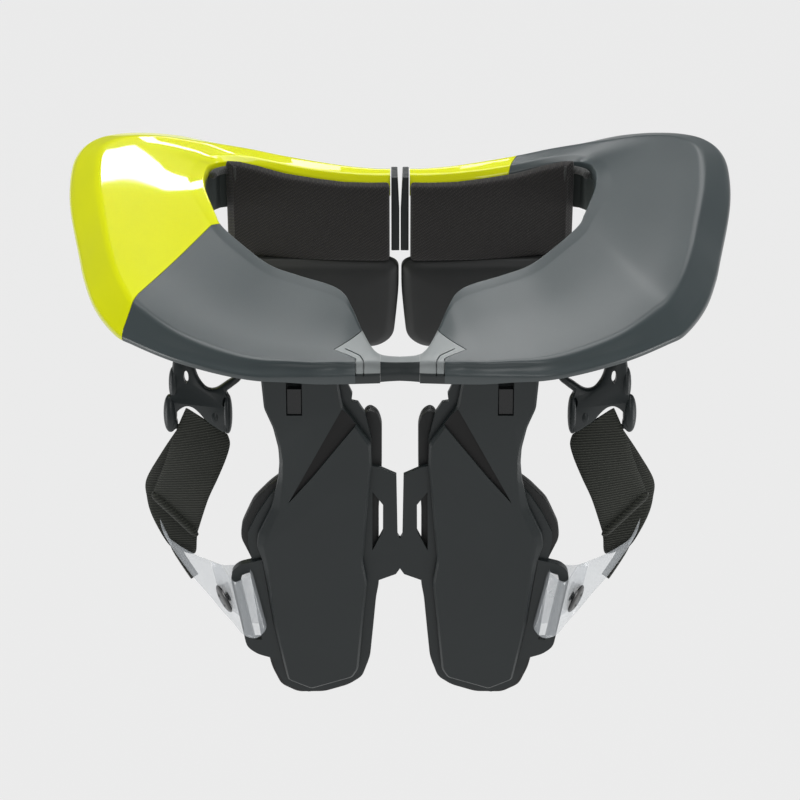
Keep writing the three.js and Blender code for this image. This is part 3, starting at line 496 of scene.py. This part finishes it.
def cutter(outline):
    """A tall block on a plan outline, for cutting."""
    body = loft([[(x, y, z) for x, y in outline] for z in (-60, 80)])
    return outward(new_object("cutter", *body, black))


def cut(obj, tool, operation):
    """Applies a boolean to obj."""
    modifier = obj.modifiers.new("cut", "BOOLEAN")
    modifier.object = tool
    modifier.operation = operation
    modifier.solver = "MANIFOLD"
    bpy.context.view_layer.update()
    evaluated = obj.evaluated_get(bpy.context.evaluated_depsgraph_get())
    mesh = bpy.data.meshes.new_from_object(evaluated)
    obj.modifiers.clear()
    obj.data = mesh
    return obj


hollow_half = collar_half()
hinge_half = collar_half("solid", HINGE_STATIONS)
skin_room = collar_half("room", HINGE_STATIONS)


def collar_piece(name, finish, cuts, flip=False, half=hollow_half, grooves=()):
    """A copy of a collar half, cut by plan outlines, on the right or flipped to the left."""
    obj = outward(new_object(name + "_look", *half, finish))
    for outline, operation in cuts:
        tool = cutter(outline)
        cut(obj, tool, operation)
        bpy.data.objects.remove(tool)
    for groove in grooves:
        tool = cutter(groove)
        room = outward(new_object("room", *skin_room, finish))
        cut(tool, room, KEEP)
        cut(obj, tool, CUT)
        bpy.data.objects.remove(room)
        bpy.data.objects.remove(tool)
    set_finishes(obj, finish)
    stand_in(obj, name, COLLAR_SHARP, flip)
    return obj


def paint_shade_below(obj, height, steep=2):
    """Paints shade on the faces below that height, and steeper than that, by giving them the black plastic.
    """
    obj.data.materials.append(black)
    for face in obj.data.polygons:
        if face.center.z < height * MM and face.normal.z < steep:
            face.material_index = 1


def join(parts):
    """Several closed bodies as one list of points and faces."""
    points, faces = [], []
    for p, f in parts:
        faces += [tuple(i + len(points) for i in face) for face in f]
        points += p
    return points, faces


def bridge_plan(spare):
    """The bridge's plan outline, wider at each side by that spare."""
    side = BRIDGE_HALF_WIDTH + spare
    return [(-side, -COLLAR_REAR * 2), (side, -COLLAR_REAR * 2), (side, 0), (-side, 0)]


def bridge_arch():
    """The arched room under the bridge."""
    rings = []
    for y in (-COLLAR_REAR * 1.3, -COLLAR_REAR * 0.5):
        arc = [(BRIDGE_ARCH_WIDTH * math.cos(a), y, BRIDGE_ARCH_LOW + BRIDGE_ARCH_RISE * math.sin(a))
               for a in (math.pi * k / 24 for k in range(25))]
        rings.append([(BRIDGE_ARCH_WIDTH, y, -40)] + arc + [(-BRIDGE_ARCH_WIDTH, y, -40)])
    return loft(rings)


seat = (HINGE_SEAT, CUT)
border_gap = (strip(PAINT_BORDER[:7], GAP), CUT)
tip_gap = (strip(TIP_BORDER[:3], GAP), CUT)
collar_piece("shell_right", graphite, [seat, (TIP_BORDER, CUT), tip_gap])
collar_piece("shell_right_tip", yellow, [(TIP_BORDER, KEEP), tip_gap])
collar_piece("shell_left_front", yellow, [(PAINT_BORDER, KEEP), border_gap], True)
collar_piece("shell_left_rear", graphite, [seat, (PAINT_BORDER, CUT), border_gap],
             True)
hinge_cuts = [(HINGE_SEAT, KEEP), (bridge_plan(GAP), CUT)]
hinge_grooves = [strip(HINGE_GROOVE_LINE, HINGE_GROOVE), strip(HINGE_SEAT[1:5], HINGE_GROOVE * 1.6)]
for side in SIDES:
    plate = collar_piece(f"hinge_plate_{side}", silver, hinge_cuts, side == "left",
                         hinge_half, hinge_grooves)
    # Painted shade: the lower faces of the hinge plate get the black plastic
    paint_shade_below(plate, HINGE_SHADE_BELOW)


def rear_bridge():
    """The arched bridge between the hinge plates."""
    body = join([hinge_half, mirrored(*hinge_half)])
    bridge = outward(new_object("rear_bridge_look", *body, silver))
    arch = outward(new_object("arch", *bridge_arch(), black))
    tools = ((cutter(bridge_plan(BRIDGE_SPARE)), KEEP), (arch, CUT))
    for tool, operation in tools:
        cut(bridge, tool, operation)
        bpy.data.objects.remove(tool)
    set_finishes(bridge, silver)
    stand_in(bridge, "rear_bridge", COLLAR_SHARP)
    # Painted shade: the bridge's steep faces below 30 mm get the black plastic
    paint_shade_below(bridge, 30, 0.7)


rear_bridge()


# The wing plane: x across, w up along the wing, n out towards the back
WING = Matrix((
    (1, 0, 0, 0),
    (0, math.sin(WING_TILT), -math.cos(WING_TILT), WING_PLANE_Y),
    (0, math.cos(WING_TILT), math.sin(WING_TILT), 0),
    (0, 0, 0, 1),
))


def wing(rows):
    return [(x * WING_REACH, w * WING_DROP) for x, w in rows]


def pillow(outline, profile):
    """Rings of a closed outline, inset and raised by each [inset, height] of a profile."""
    return [[(x, y, height) for x, y in inset(outline, amount)] for amount, height in profile]


WING_PAD_ROWS = [
    [0.112, -0.262], [0.111, -0.125], [0.134, -0.092], [0.178, -0.078], [0.212, -0.084],
    [0.300, -0.200], [0.720, -0.290], [0.810, -0.325], [0.909, -0.376], [0.948, -0.417],
    [0.988, -0.462], [0.990, -0.500], [0.925, -0.570], [0.855, -0.850], [0.810, -0.940],
    [0.756, -0.998], [0.649, -1.025], [0.479, -1.024], [0.325, -1.000], [0.240, -0.972],
    [0.189, -0.901], [0.170, -0.805], [0.150, -0.698], [0.132, -0.650], [0.132, -0.400],
]


def wing_pad():
    outline = rounded(wing(WING_PAD_ROWS), 2.6, 5)
    back = -GAP
    front = -GAP - WING_PAD_THICKNESS
    profile = [(1.2, back), (0.3, back - 0.3), (0, back - 1), (0, back - 3.2), (0.5, back - 3.6),
               (0.5, back - 3.9), (0, back - 4.3), (0, front + 3), (0.4, front + 1.5), (1.4, front + 0.5),
               (2.8, front)]
    points, faces = loft(pillow(outline, profile))
    return put(WING, points), faces


pair("wing_pad", wing_pad, foam)


# Wing plates: the outline, each point with its bevel's width as a share of PLATE_EDGE
PLATE_ROWS = [
    [0.852, 0.090, 0.5], [0.828, -0.053, 0.5], [0.776, -0.115, 0.6], [0.745, -0.182, 0.8],
    [0.740, -0.228, 1.0], [0.750, -0.284, 1.3], [0.793, -0.376, 2.2], [0.880, -0.465, 2.4],
    [0.888, -0.505, 1.8], [0.855, -0.553, 1.3], [0.824, -0.653, 1.0], [0.796, -0.755, 0.8],
    [0.761, -0.841, 0.7], [0.709, -0.957, 0.6], [0.561, -0.989, 0.6], [0.299, -0.949, 0.6],
    [0.262, -0.920, 0.6], [0.229, -0.745, 0.6], [0.204, -0.626, 0.6], [0.230, -0.553, 0.6],
    [0.201, -0.384, 0.6], [0.175, -0.245, 0.6], [0.178, -0.170, 0.6], [0.346, -0.048, 0.6],
    [0.395, 0.090, 0.5],
]
PLATE_THICKNESS = 5
PLATE_EDGE = 2
YOKE_THICKNESS = 3
SLOT_WIDTH = 7.7
SLOT_LOW = -0.073
SLOT_CENTRE = 0.643
RECESS = [[0.354, -0.053], [0.259, -0.099], [0.537, -0.273], [0.690, -0.360]]
RECESS_DEPTH = 1.6
PLATE_ROUND_STEPS = 3
PLATE_SHARP = 20
CUT_ROOM = 5


def wing_block(outline, low, high):
    """A block on an outline in the wing plane, for cutting."""
    body = loft([[(x, w, n) for x, w in outline] for n in (low, high)])
    return outward(new_object("tool", *body, black))


def wing_plates():
    """Both wing plates, each with its slot and its recess, whose floor has painted shade."""
    rows = np.array(PLATE_ROWS)
    outline = rounded(wing(rows[:, :2]), 1.6, PLATE_ROUND_STEPS)
    edges = np.repeat(rows[:, 2], PLATE_ROUND_STEPS + 1) * PLATE_EDGE
    back = YOKE_THICKNESS + GAP
    face = back + PLATE_THICKNESS
    rings = []
    for share, drop in ((0.3, PLATE_THICKNESS), (0, PLATE_THICKNESS - 0.4), (0, PLATE_EDGE),
                        (0.08, PLATE_EDGE * 0.7), (0.8, 0.25), (0.92, 0.07), (1.05, 0)):
        rings.append([(x, w, face - drop) for x, w in inset(outline, edges * share)])
    centre = SLOT_CENTRE * WING_REACH
    slot_low = SLOT_LOW * WING_DROP
    slot = [(centre - SLOT_WIDTH / 2, slot_low), (centre + SLOT_WIDTH / 2, slot_low),
            (centre + SLOT_WIDTH / 2, 40), (centre - SLOT_WIDTH / 2, 40)]
    recess = wing(RECESS)
    for side in SIDES:
        obj = outward(new_object(f"wing_plate_{side}_look", *loft(rings), black))
        for tool in (wing_block(slot, 0, face + CUT_ROOM),
                     wing_block(rounded(recess, 0.6, 2), face - RECESS_DEPTH, face + CUT_ROOM)):
            cut(obj, tool, CUT)
            bpy.data.objects.remove(tool)
        set_finishes(obj, black, painted_recess_shade)
        # The recess floor gets the painted shade
        for poly in obj.data.polygons:
            if poly.normal.z > 0.9 and abs(poly.center.z / MM - face + RECESS_DEPTH) < 0.2:
                poly.material_index = 1
        for vertex in obj.data.vertices:
            vertex.co = WING @ (vertex.co / MM) * MM
        stand_in(obj, f"wing_plate_{side}", PLATE_SHARP, side == "left")


wing_plates()


# Neck pad: station on the collar and the top edge as a share of the lip height
NECK_PAD_ROWS = [
    [18.55, 0.80], [19, 0.78], [20, 0.76], [21, 0.69], [22, 0.57], [23, 0.50],
    [24, 0.43], [25, 0.42], [25.94, 0.43],
]
NECK_PAD_RISE = 2.0
NECK_PAD_CROWN = 1.2
NECK_PAD_SIDES = 56


def neck_pad():
    """A crowned pad along the lip, with rounded ends."""
    rows = np.array(NECK_PAD_ROWS)
    steps = 70
    rings = []
    for i in range(steps + 1):
        u = i / steps
        position = rows[0, 0] + (rows[-1, 0] - rows[0, 0]) * u
        top = np.interp(position, rows[:, 0], rows[:, 1]) * LIP_HEIGHT + NECK_PAD_RISE
        bottom = -NECK_PAD_DROP
        lip = np.array(section(position)[0][:2])
        ahead = np.array(section(min(position + 0.05, LAST_STATION))[0][:2])
        behind = np.array(section(max(position - 0.05, 0))[0][:2])
        direction = (ahead - behind) / np.linalg.norm(ahead - behind)
        across = np.array([-direction[1], direction[0]])
        end = min(u, 1 - u) * steps
        close = math.sqrt(1 - (1 - min(end / 3, 1)) ** 2)
        crown = NECK_PAD_CROWN * close
        middle = (top + bottom) / 2
        tall = (top - bottom) / 2 - (1 - close) * 2.0
        thick = NECK_PAD_THICKNESS / 2 * (0.35 + 0.65 * close)
        ring = []
        for k in range(NECK_PAD_SIDES):
            a = 2 * math.pi * k / NECK_PAD_SIDES
            depth = math.copysign(abs(math.cos(a)) ** 0.35, math.cos(a))
            height = math.copysign(abs(math.sin(a)) ** 0.28, math.sin(a))
            swell = crown * (1 - height ** 2) if depth > 0 else 0
            offset = GAP + NECK_PAD_THICKNESS / 2 + depth * thick + swell
            ring.append((lip[0] + across[0] * offset, lip[1] + across[1] * offset, middle + height * tall))
        rings.append(ring)
    return loft(rings)


pair("neck_pad", neck_pad, fabric, sharp=60)


# Rolled corner and bound edge beside the neck pad
ROLL_START = 15.3
ROLL_END = 18.9
ROLL_RADIUS = 2.1
ROLL_INSET = 2.4
ROLL_DROP = 4.6
ROLL_CLIMB = 1.2
ROLL_STEPS = 40
BINDING_STATION = 18.5
BINDING_TOP = 0.82
BINDING_RADIUS = 1.5


def tube(path, radius, sides=14):
    """A closed round tube along points, with rounded ends."""
    path = [np.array(q, float) for q in path]
    rings = []
    for i, point in enumerate(path):
        direction = path[min(i + 1, len(path) - 1)] - path[max(i - 1, 0)]
        direction /= np.linalg.norm(direction)
        first = np.cross(direction, (0.3, 0.2, 0.93))
        first /= np.linalg.norm(first)
        second = np.cross(direction, first)
        end = min(i, len(path) - 1 - i)
        r = radius * (0.5, 0.85, 1.0)[min(end, 2)]
        rings.append([tuple(point + r * (first * math.cos(a) + second * math.sin(a)))
                      for a in (2 * math.pi * k / sides for k in range(sides))])
    return loft(rings)


def corner_roll():
    """The rolled edge inside the opening's corner, from the shell's side to the neck pad."""
    path = []
    for i in range(ROLL_STEPS + 1):
        u = i / ROLL_STEPS
        lip, along, _, _ = section(ROLL_START + (ROLL_END - ROLL_START) * u)
        path.append((lip[0] - along[0] * ROLL_INSET, lip[1] - along[1] * ROLL_INSET,
                     lip[2] - ROLL_DROP + ROLL_CLIMB * u))
    return tube(path, ROLL_RADIUS)


def pad_binding():
    """The bound edge at the outer end of the neck pad."""
    first, along, _, _ = section(BINDING_STATION)
    top = LIP_HEIGHT * BINDING_TOP
    path = []
    for i in range(31):
        u = i / 30
        reach = NECK_PAD_THICKNESS + 1.4 * math.sin(math.pi * u)
        path.append((first[0] - along[0] * reach, first[1] - along[1] * reach,
                     top - u * (top + NECK_PAD_DROP - 1)))
    return tube(path, BINDING_RADIUS)


pair("corner_roll", corner_roll, binding, replaces=False, sharp=60)
pair("neck_pad_binding", pad_binding, binding, replaces=False, sharp=60)


# Chest pad: its outline as shares of its width and height, and its crown's rings, each with the
# share of the rim's size and the height over the rim's face
CHEST_PAD_OUTLINE = [
    [0.009, -0.02], [0.009, -0.28], [0.030, -0.62], [0.050, -0.88], [0.170, -1.00],
    [0.560, -0.98], [0.860, -0.70], [1.090, -0.12], [1.110, 0.04], [0.100, 0.04],
]
CHEST_CROWN = [(0.93, -2.6), (0.89, -1.7), (0.87, -1.5), (0.84, -1.2), (0.7, -0.5), (0.4, 0), (0.1, 0)]


def chest_pad():
    outline = rounded([(x * CHEST_PAD_WIDTH, z * CHEST_PAD_HEIGHT) for x, z in CHEST_PAD_OUTLINE], 7, 6)
    depth = CHEST_PAD_THICKNESS
    profile = [(1.0, 0), (0.4, 0.4), (0, 1.2), (0, depth - 6), (0.3, depth - 5.2), (0.9, depth - 4.6)]
    rings = pillow(outline, profile)
    centre = np.array([0.52 * CHEST_PAD_WIDTH, -0.45 * CHEST_PAD_HEIGHT])
    inner = np.array([(x, y) for x, y, _ in rings[-1]])
    for share, height in CHEST_CROWN:
        rings.append([(x, y, depth + height) for x, y in centre + (inner - centre) * share])
    points, faces = loft(rings)
    seat_y = section(25)[0][1] - GAP
    upright = Matrix(((1, 0, 0, 0), (0, 0, -1, seat_y), (0, 1, 0, CHEST_PAD_TOP), (0, 0, 0, 1)))
    return put(upright, points), faces


pair("chest_pad", chest_pad, foam)


# Straps: where both edges of the strap on the photo's left show, read in the photo.
# A row holds the strap's two edges, each as (column, row, depth). Columns and rows are in the
# photo's pixels, and depth is the place along Y in millimetres.
PHOTO_MIDDLE = 400
PHOTO_FOCUS = LENS / SENSOR * 2 * PHOTO_MIDDLE
ELASTIC_FRONT_ROWS = [
    [(186, 408, -81), (228, 435, -80)], [(179, 424, -82), (230, 444, -81)],
    [(171, 444, -83), (226, 459, -83)], [(164, 465, -83), (218, 478, -85)],
    [(157, 482, -82), (208, 500, -86)], [(153, 493, -81), (197, 534, -86)],
]
ELASTIC_BACK_ROWS = [
    [(178, 428, -76), (222, 440, -76)], [(160, 455, -73), (214, 465, -76)],
    [(146.5, 479, -71), (204, 492, -77)], [(147, 497, -73), (199, 515, -78)],
    [(151, 513, -76), (197, 538, -80)], [(161, 532, -79), (195, 553, -78)],
    [(176, 554, -84), (183, 552, -64)], [(192.5, 578, -92), (197, 575, -70)],
]
CLEAR_ROWS = [
    [(159.5, 517, -84), (164, 534, -86)], [(166, 535, -86), (177, 553, -88)],
    [(180, 546, -90), (194, 577, -93)], [(196, 555, -94), (207, 592, -98)],
    [(211, 561, -98), (222, 610, -105)], [(222, 566, -104), (233, 622, -112)],
    [(229, 576, -113), (243, 634, -120)], [(235, 582, -118), (253, 638, -125)],
    [(244, 578, -119), (260, 636, -126)], [(250.5, 571, -115), (266, 628, -122)],
    [(246, 566, -108), (262, 624, -115)], [(236, 565, -104), (250, 622, -111)],
    [(224, 565, -100.5), (237, 614, -108)], [(212, 562, -96.5), (223, 604, -102)],
]


def seen_at(column, row, depth):
    """The place that shows there in the photo, brought over to the right-hand side."""
    place = np.array(CAMERA_PLACE) * 1000
    ahead = np.array(CAMERA_TARGET - CAMERA_PLACE)
    ahead /= np.linalg.norm(ahead)
    up = np.cross((1, 0, 0), ahead)
    ray = ahead + up * (PHOTO_MIDDLE - row) / PHOTO_FOCUS
    ray[0] += (PHOTO_MIDDLE - column) / PHOTO_FOCUS
    return place + ray * (depth - place[1]) / ray[1]


def strap_edges(rows):
    """The places of both edges, row by row."""
    return np.array([[seen_at(*edge) for edge in row] for row in rows])


ELASTIC_FRONT = strap_edges(ELASTIC_FRONT_ROWS)
ELASTIC_BACK = strap_edges(ELASTIC_BACK_ROWS)
CLEAR_EDGES = strap_edges(CLEAR_ROWS)
STRAP_COLUMNS = 14
STEPS_PER_ROW = 8
ELASTIC_WAVE = 0.2
HEM_RADIUS = 2.1


def ribbon(rows, thickness, wave=0.0):
    """A strap between two edges, rounded along both, with a slight wave across its length."""
    steps = STEPS_PER_ROW
    count = len(rows) - 1

    def curve(t):
        i = min(int(t), count - 1)
        near = (rows[max(0, min(count, j))] for j in (i - 1, i, i + 1, i + 2))
        return spline(*near, t - i)

    rings = []
    for s in range(count * steps + 1):
        t = s / steps
        low, high = curve(t)
        tangent = curve(min(t + 0.05, count)).mean(axis=0) - curve(max(t - 0.05, 0)).mean(axis=0)
        normal = np.cross(tangent, high - low)
        normal /= np.linalg.norm(normal)
        outer, inner = [], []
        for k in range(STRAP_COLUMNS + 1):
            share = 0.5 - 0.5 * math.cos(math.pi * k / STRAP_COLUMNS)
            half = thickness / 2 * max(0.25, min(1, 14 * min(share, 1 - share)) ** 0.5)
            ripple = wave * math.sin(t * 2.1 + share * 3)
            middle = low + (high - low) * share
            outer.append(middle + normal * (half + ripple))
            inner.append(middle - normal * (half - ripple))
        rings.append(outer + inner[::-1])
    return loft(rings)


def elastic_strap():
    """Both layers of the elastic and the rolled hem between them."""
    parts = [ribbon(rows, ELASTIC_THICKNESS, ELASTIC_WAVE) for rows in (ELASTIC_FRONT, ELASTIC_BACK)]
    start, end = ELASTIC_FRONT[-1]
    along = end - start
    side = np.cross(along, (0, 1, 0))
    side /= np.linalg.norm(side)
    hem = []
    for k in range(31):
        share = k / 30
        radius = HEM_RADIUS * min(1, 0.4 + 8 * min(share, 1 - share))
        middle = start + along * (share * 1.03 - 0.015) + (0, -1, 0.4)
        hem.append([tuple(middle + radius * (side * math.cos(a) + np.array((0, 1, 0)) * math.sin(a)))
                    for a in (2 * math.pi * j / 16 for j in range(16))])
    parts.append(loft(hem))
    return join(parts)


pair("elastic_strap", elastic_strap, elastic, sharp=50)


def clear_strap():
    return ribbon(CLEAR_EDGES, CLEAR_THICKNESS)


pair("clear_strap", clear_strap, clear, sharp=60)


# Rivet: its place on the clear strap, and the ways its head and the strap's width point
RIVET_PLACE = Vector((87.8, -106.5, -117.5))
RIVET_OUTWARD = Vector((0.85, -0.466, -0.24)).normalized()
RIVET_DOWN = Vector((-0.47, -0.48, -0.74))


def rivet():
    """A turned rivet with a dished head."""
    down = (RIVET_DOWN - RIVET_OUTWARD * RIVET_DOWN.dot(RIVET_OUTWARD)).normalized()
    side = down.cross(RIVET_OUTWARD)
    face = CLEAR_THICKNESS / 2 + GAP * 0.3
    back = CLEAR_THICKNESS / 2 + GAP
    r = RIVET_RADIUS
    profile = [
        (0.2, -back - 0.6), (r * 0.33, -back - 0.6), (r * 0.33, -back), (1.8, -back), (1.8, face),
        (r, face), (r, face + 0.5), (r * 0.94, face + 0.9), (r * 0.80, face + 1.3),
        (r * 0.60, face + RIVET_HEAD * 0.85), (r * 0.5, face + RIVET_HEAD * 0.75),
        (r * 0.44, face + RIVET_HEAD * 0.6), (r * 0.2, face + RIVET_HEAD * 0.7),
        (0.2, face + RIVET_HEAD * 0.72),
    ]
    rings = []
    for radius, height in profile:
        rings.append([tuple(RIVET_PLACE + RIVET_OUTWARD * height
                            + (down * math.cos(a) + side * math.sin(a)) * radius)
                      for a in (2 * math.pi * k / 48 for k in range(48))])
    return loft(rings)


pair("rivet", rivet, rubber_black)


# Buckles: the outline in millimetres, out from and up from the buckle's middle
BUCKLE_CENTRE = Vector((100, -78, -17))
BUCKLE_UP = Vector((0, 0.34, 0.94)).normalized()
BUCKLE_OUTLINE = [
    [11.6, 36.5], [11.6, 24], [12.6, 14], [13.4, 7.6], [12.9, 4.1], [14.9, 0], [15.9, -6], [14.9, -12.5],
    [12, -15], [10, -12], [10.8, -7.6], [9.4, -5], [6, -3], [2.5, -3.6], [-1, -6.6], [-4, -10.2],
    [-8, -13.2], [-12, -15.8], [-14.9, -15.8], [-15, -10.7], [-14.9, -6], [-16, -1], [-15.4, 2.5],
    [-14.6, 4.8], [-17.8, 7.4], [-22, 11.5], [-23.4, 20], [-23.4, 36.5],
    [-20, 36.5], [-20, 20], [-18.6, 13.0], [-14, 9.4], [-9, 6.2], [-5, 6.3],
    [-2, 9.1], [0.5, 14.2], [2.4, 24], [2.4, 36.5],
]
# Holes: middle out and up, then half width and half height
BUCKLE_SLIT = [5.4, 12.2, 1.2, 3.2]
BUCKLE_SIDE_HOLE = [-13.6, -0.8, 1.3, 2.8]
# Lobes of the latching half: the middle, out, up and back, then the three radii
BUCKLE_LOBES = [
    [(13.6, -6.5, 0.4), (3.4, 9.6, 4.2)], [(-14.6, -6.8, 0.2), (2.5, 10.2, 3.8)],
    [(11.6, 8.5, 0.2), (2.6, 8.5, 3.6)], [(-8.4, -8.5, 0.6), (3.0, 4.6, 3.0)],
]
BAR_UP = -14.2
BAR_BACK = -3.3
BAR_RADIUS = 1.3
BUCKLE_SHARP = 50


def smooth_outline(rows, steps=5):
    """A closed curve through the rows."""
    rows = np.array(rows, float)
    count = len(rows)
    points = []
    for i in range(count):
        near = [rows[(i + k) % count] for k in (-1, 0, 1, 2)]
        points += [spline(*near, k / steps) for k in range(steps)]
    return points


def buckle_place(points):
    """From out, up and towards the back of the brace to the shared frame."""
    out, up = Vector((1, 0, 0)), BUCKLE_UP
    back = out.cross(up)
    return [tuple(BUCKLE_CENTRE + out * a + up * b + back * c) for a, b, c in points]


def egg(centre, radii, power=0.8, rows=18, columns=32):
    """A closed egg-shaped lobe."""
    rings = []
    for i in range(1, rows):
        a = math.pi * i / rows
        ring = []
        for k in range(columns):
            b = 2 * math.pi * k / columns
            wide = math.sin(a) ** power
            ring.append((centre[0] + radii[0] * wide * math.cos(b), centre[1] + radii[1] * math.cos(a),
                         centre[2] + radii[2] * wide * math.sin(b)))
        rings.append(ring)
    return loft(rings)


def hole(spec, low, high):
    """A block with an oval section, for cutting a hole or a recess."""
    out, up, half_width, half_height = spec
    ring = [(out + half_width * math.cos(a), up + half_height * math.sin(a))
            for a in (2 * math.pi * k / 24 for k in range(24))]
    return loft([[(x, y, z) for x, y in ring] for z in (low, high)])


def buckle_body():
    """The flat body with rounded rims."""
    profile = [(1.1, -3.2), (0.4, -2.7), (0, -1.8), (0, 1.4), (0.4, 2.5), (1.0, 3.1)]
    return loft(pillow(smooth_outline(BUCKLE_OUTLINE), profile))


def buckle_lobes():
    """The latching arms of the male half and the bar of its strap."""
    arms = [egg(centre, radii) for centre, radii in BUCKLE_LOBES]
    bar = loft([[(x, BAR_UP + BAR_RADIUS * math.cos(a), BAR_BACK + BAR_RADIUS * math.sin(a))
                 for a in (2 * math.pi * k / 16 for k in range(16))] for x in (-14, 12.5)])
    return join(arms + [bar])


def buckle_half(name, body, holes):
    """One half of the buckle on each side, with its holes cut."""
    for side in SIDES:
        obj = outward(new_object(f"{name}_{side}_look", *body, black, BUCKLE_SHARP))
        for spec, low, high in holes:
            tool = outward(new_object("tool", *hole(spec, low, high), black))
            cut(obj, tool, CUT)
            bpy.data.objects.remove(tool)
        placed = buckle_place([v.co / MM for v in obj.data.vertices])
        for vertex, point in zip(obj.data.vertices, placed):
            vertex.co = Vector(point) * MM
        set_finishes(obj, black)
        stand_in(obj, f"{name}_{side}", BUCKLE_SHARP, side == "left")


buckle_half("buckle_female", buckle_body(), [(BUCKLE_SLIT, -10, 10), (BUCKLE_SIDE_HOLE, 1.0, 10)])
buckle_half("buckle_male", buckle_lobes(), [])


# CAD nodes that keep their shape

def dress(name, finish, width=0.5, segments=3):
    """Gives a CAD node its finish and rounded edges."""
    obj = nodes[name]
    set_finishes(obj, finish)
    obj.data.shade_smooth()
    bevel = obj.modifiers.new("rounded_edges", "BEVEL")
    bevel.width = width * MM
    bevel.segments = segments
    bevel.limit_method = "ANGLE"
    bevel.angle_limit = math.radians(28)
    even = obj.modifiers.new("even_shading", "WEIGHTED_NORMAL")
    even.keep_sharp = True


for side in SIDES:
    dress(f"front_frame_{side}", frame_grey, 0.6)
    dress(f"latch_plate_{side}", black, 0.6)
    dress(f"slot_tab_{side}", rubber_black, 0.5)
dress("back_yoke", black, 0.5)


# Stage

FLOOR_HEIGHT = -0.9
FLOOR_SIZE = 12


def plane(name, size, z, finish):
    mesh = bpy.data.meshes.new(name)
    mesh.from_pydata([(-size, -size, z), (size, -size, z), (size, size, z), (-size, size, z)], [],
                     [(0, 1, 2, 3)])
    mesh.materials.append(finish)
    obj = bpy.data.objects.new(name, mesh)
    bpy.context.scene.collection.objects.link(obj)


plane("floor", FLOOR_SIZE, FLOOR_HEIGHT, floor_finish)


def area(name, place, target, size, power):
    data = bpy.data.lights.new(name, "AREA")
    data.shape = "RECTANGLE"
    data.size, data.size_y = size
    data.energy = power
    obj = bpy.data.objects.new(name, data)
    obj.location = place
    obj.rotation_euler = (Vector(target) - Vector(place)).to_track_quat("-Z", "Y").to_euler()
    bpy.context.scene.collection.objects.link(obj)


world = bpy.data.worlds.new("studio")
world.use_nodes = True
world.node_tree.nodes["Background"].inputs["Color"].default_value = (0.93, 0.97, 1.0, 1)
world.node_tree.nodes["Background"].inputs["Strength"].default_value = 0.1
bpy.context.scene.world = world


def at_angle(azimuth, elevation, distance):
    """A place in that direction from the collar; azimuth 0 is the wearer's front."""
    a, e = math.radians(azimuth), math.radians(elevation)
    level = distance * math.cos(e)
    return (level * math.sin(a), level * math.cos(a), distance * math.sin(e))


COLLAR_MIDDLE = (0, 0, 0)
BACK_MIDDLE = (0, -0.1, -0.05)
area("overhead", at_angle(0, 82, 1.5), COLLAR_MIDDLE, (1.9, 1.5), 28)
area("gloss_box", at_angle(-10, 27.9, 1.6), COLLAR_MIDDLE, (0.34, 0.075), 1.1)
area("far_soft", at_angle(26, 24, 2.0), COLLAR_MIDDLE, (0.7, 0.3), 2.4)
area("left_edge", at_angle(-105, -10, 1.4), BACK_MIDDLE, (0.3, 0.6), 4)
area("right_edge", at_angle(105, -10, 1.4), BACK_MIDDLE, (0.3, 0.6), 4)
area("rim_box", at_angle(3, 41, 1.6), COLLAR_MIDDLE, (0.26, 0.36), 2.4)
area("near_fill", (0.5, -1.7, 1.0), BACK_MIDDLE, (0.8, 0.8), 5)

camera_data = bpy.data.cameras.new("camera")
camera_data.lens = LENS
camera_data.sensor_width = SENSOR
camera = bpy.data.objects.new("camera", camera_data)
camera.location = CAMERA_PLACE
camera.rotation_euler = (CAMERA_TARGET - CAMERA_PLACE).to_track_quat("-Z", "Y").to_euler()
bpy.context.scene.collection.objects.link(camera)
bpy.context.scene.camera = camera
bpy.context.scene.view_settings.view_transform = "Standard"
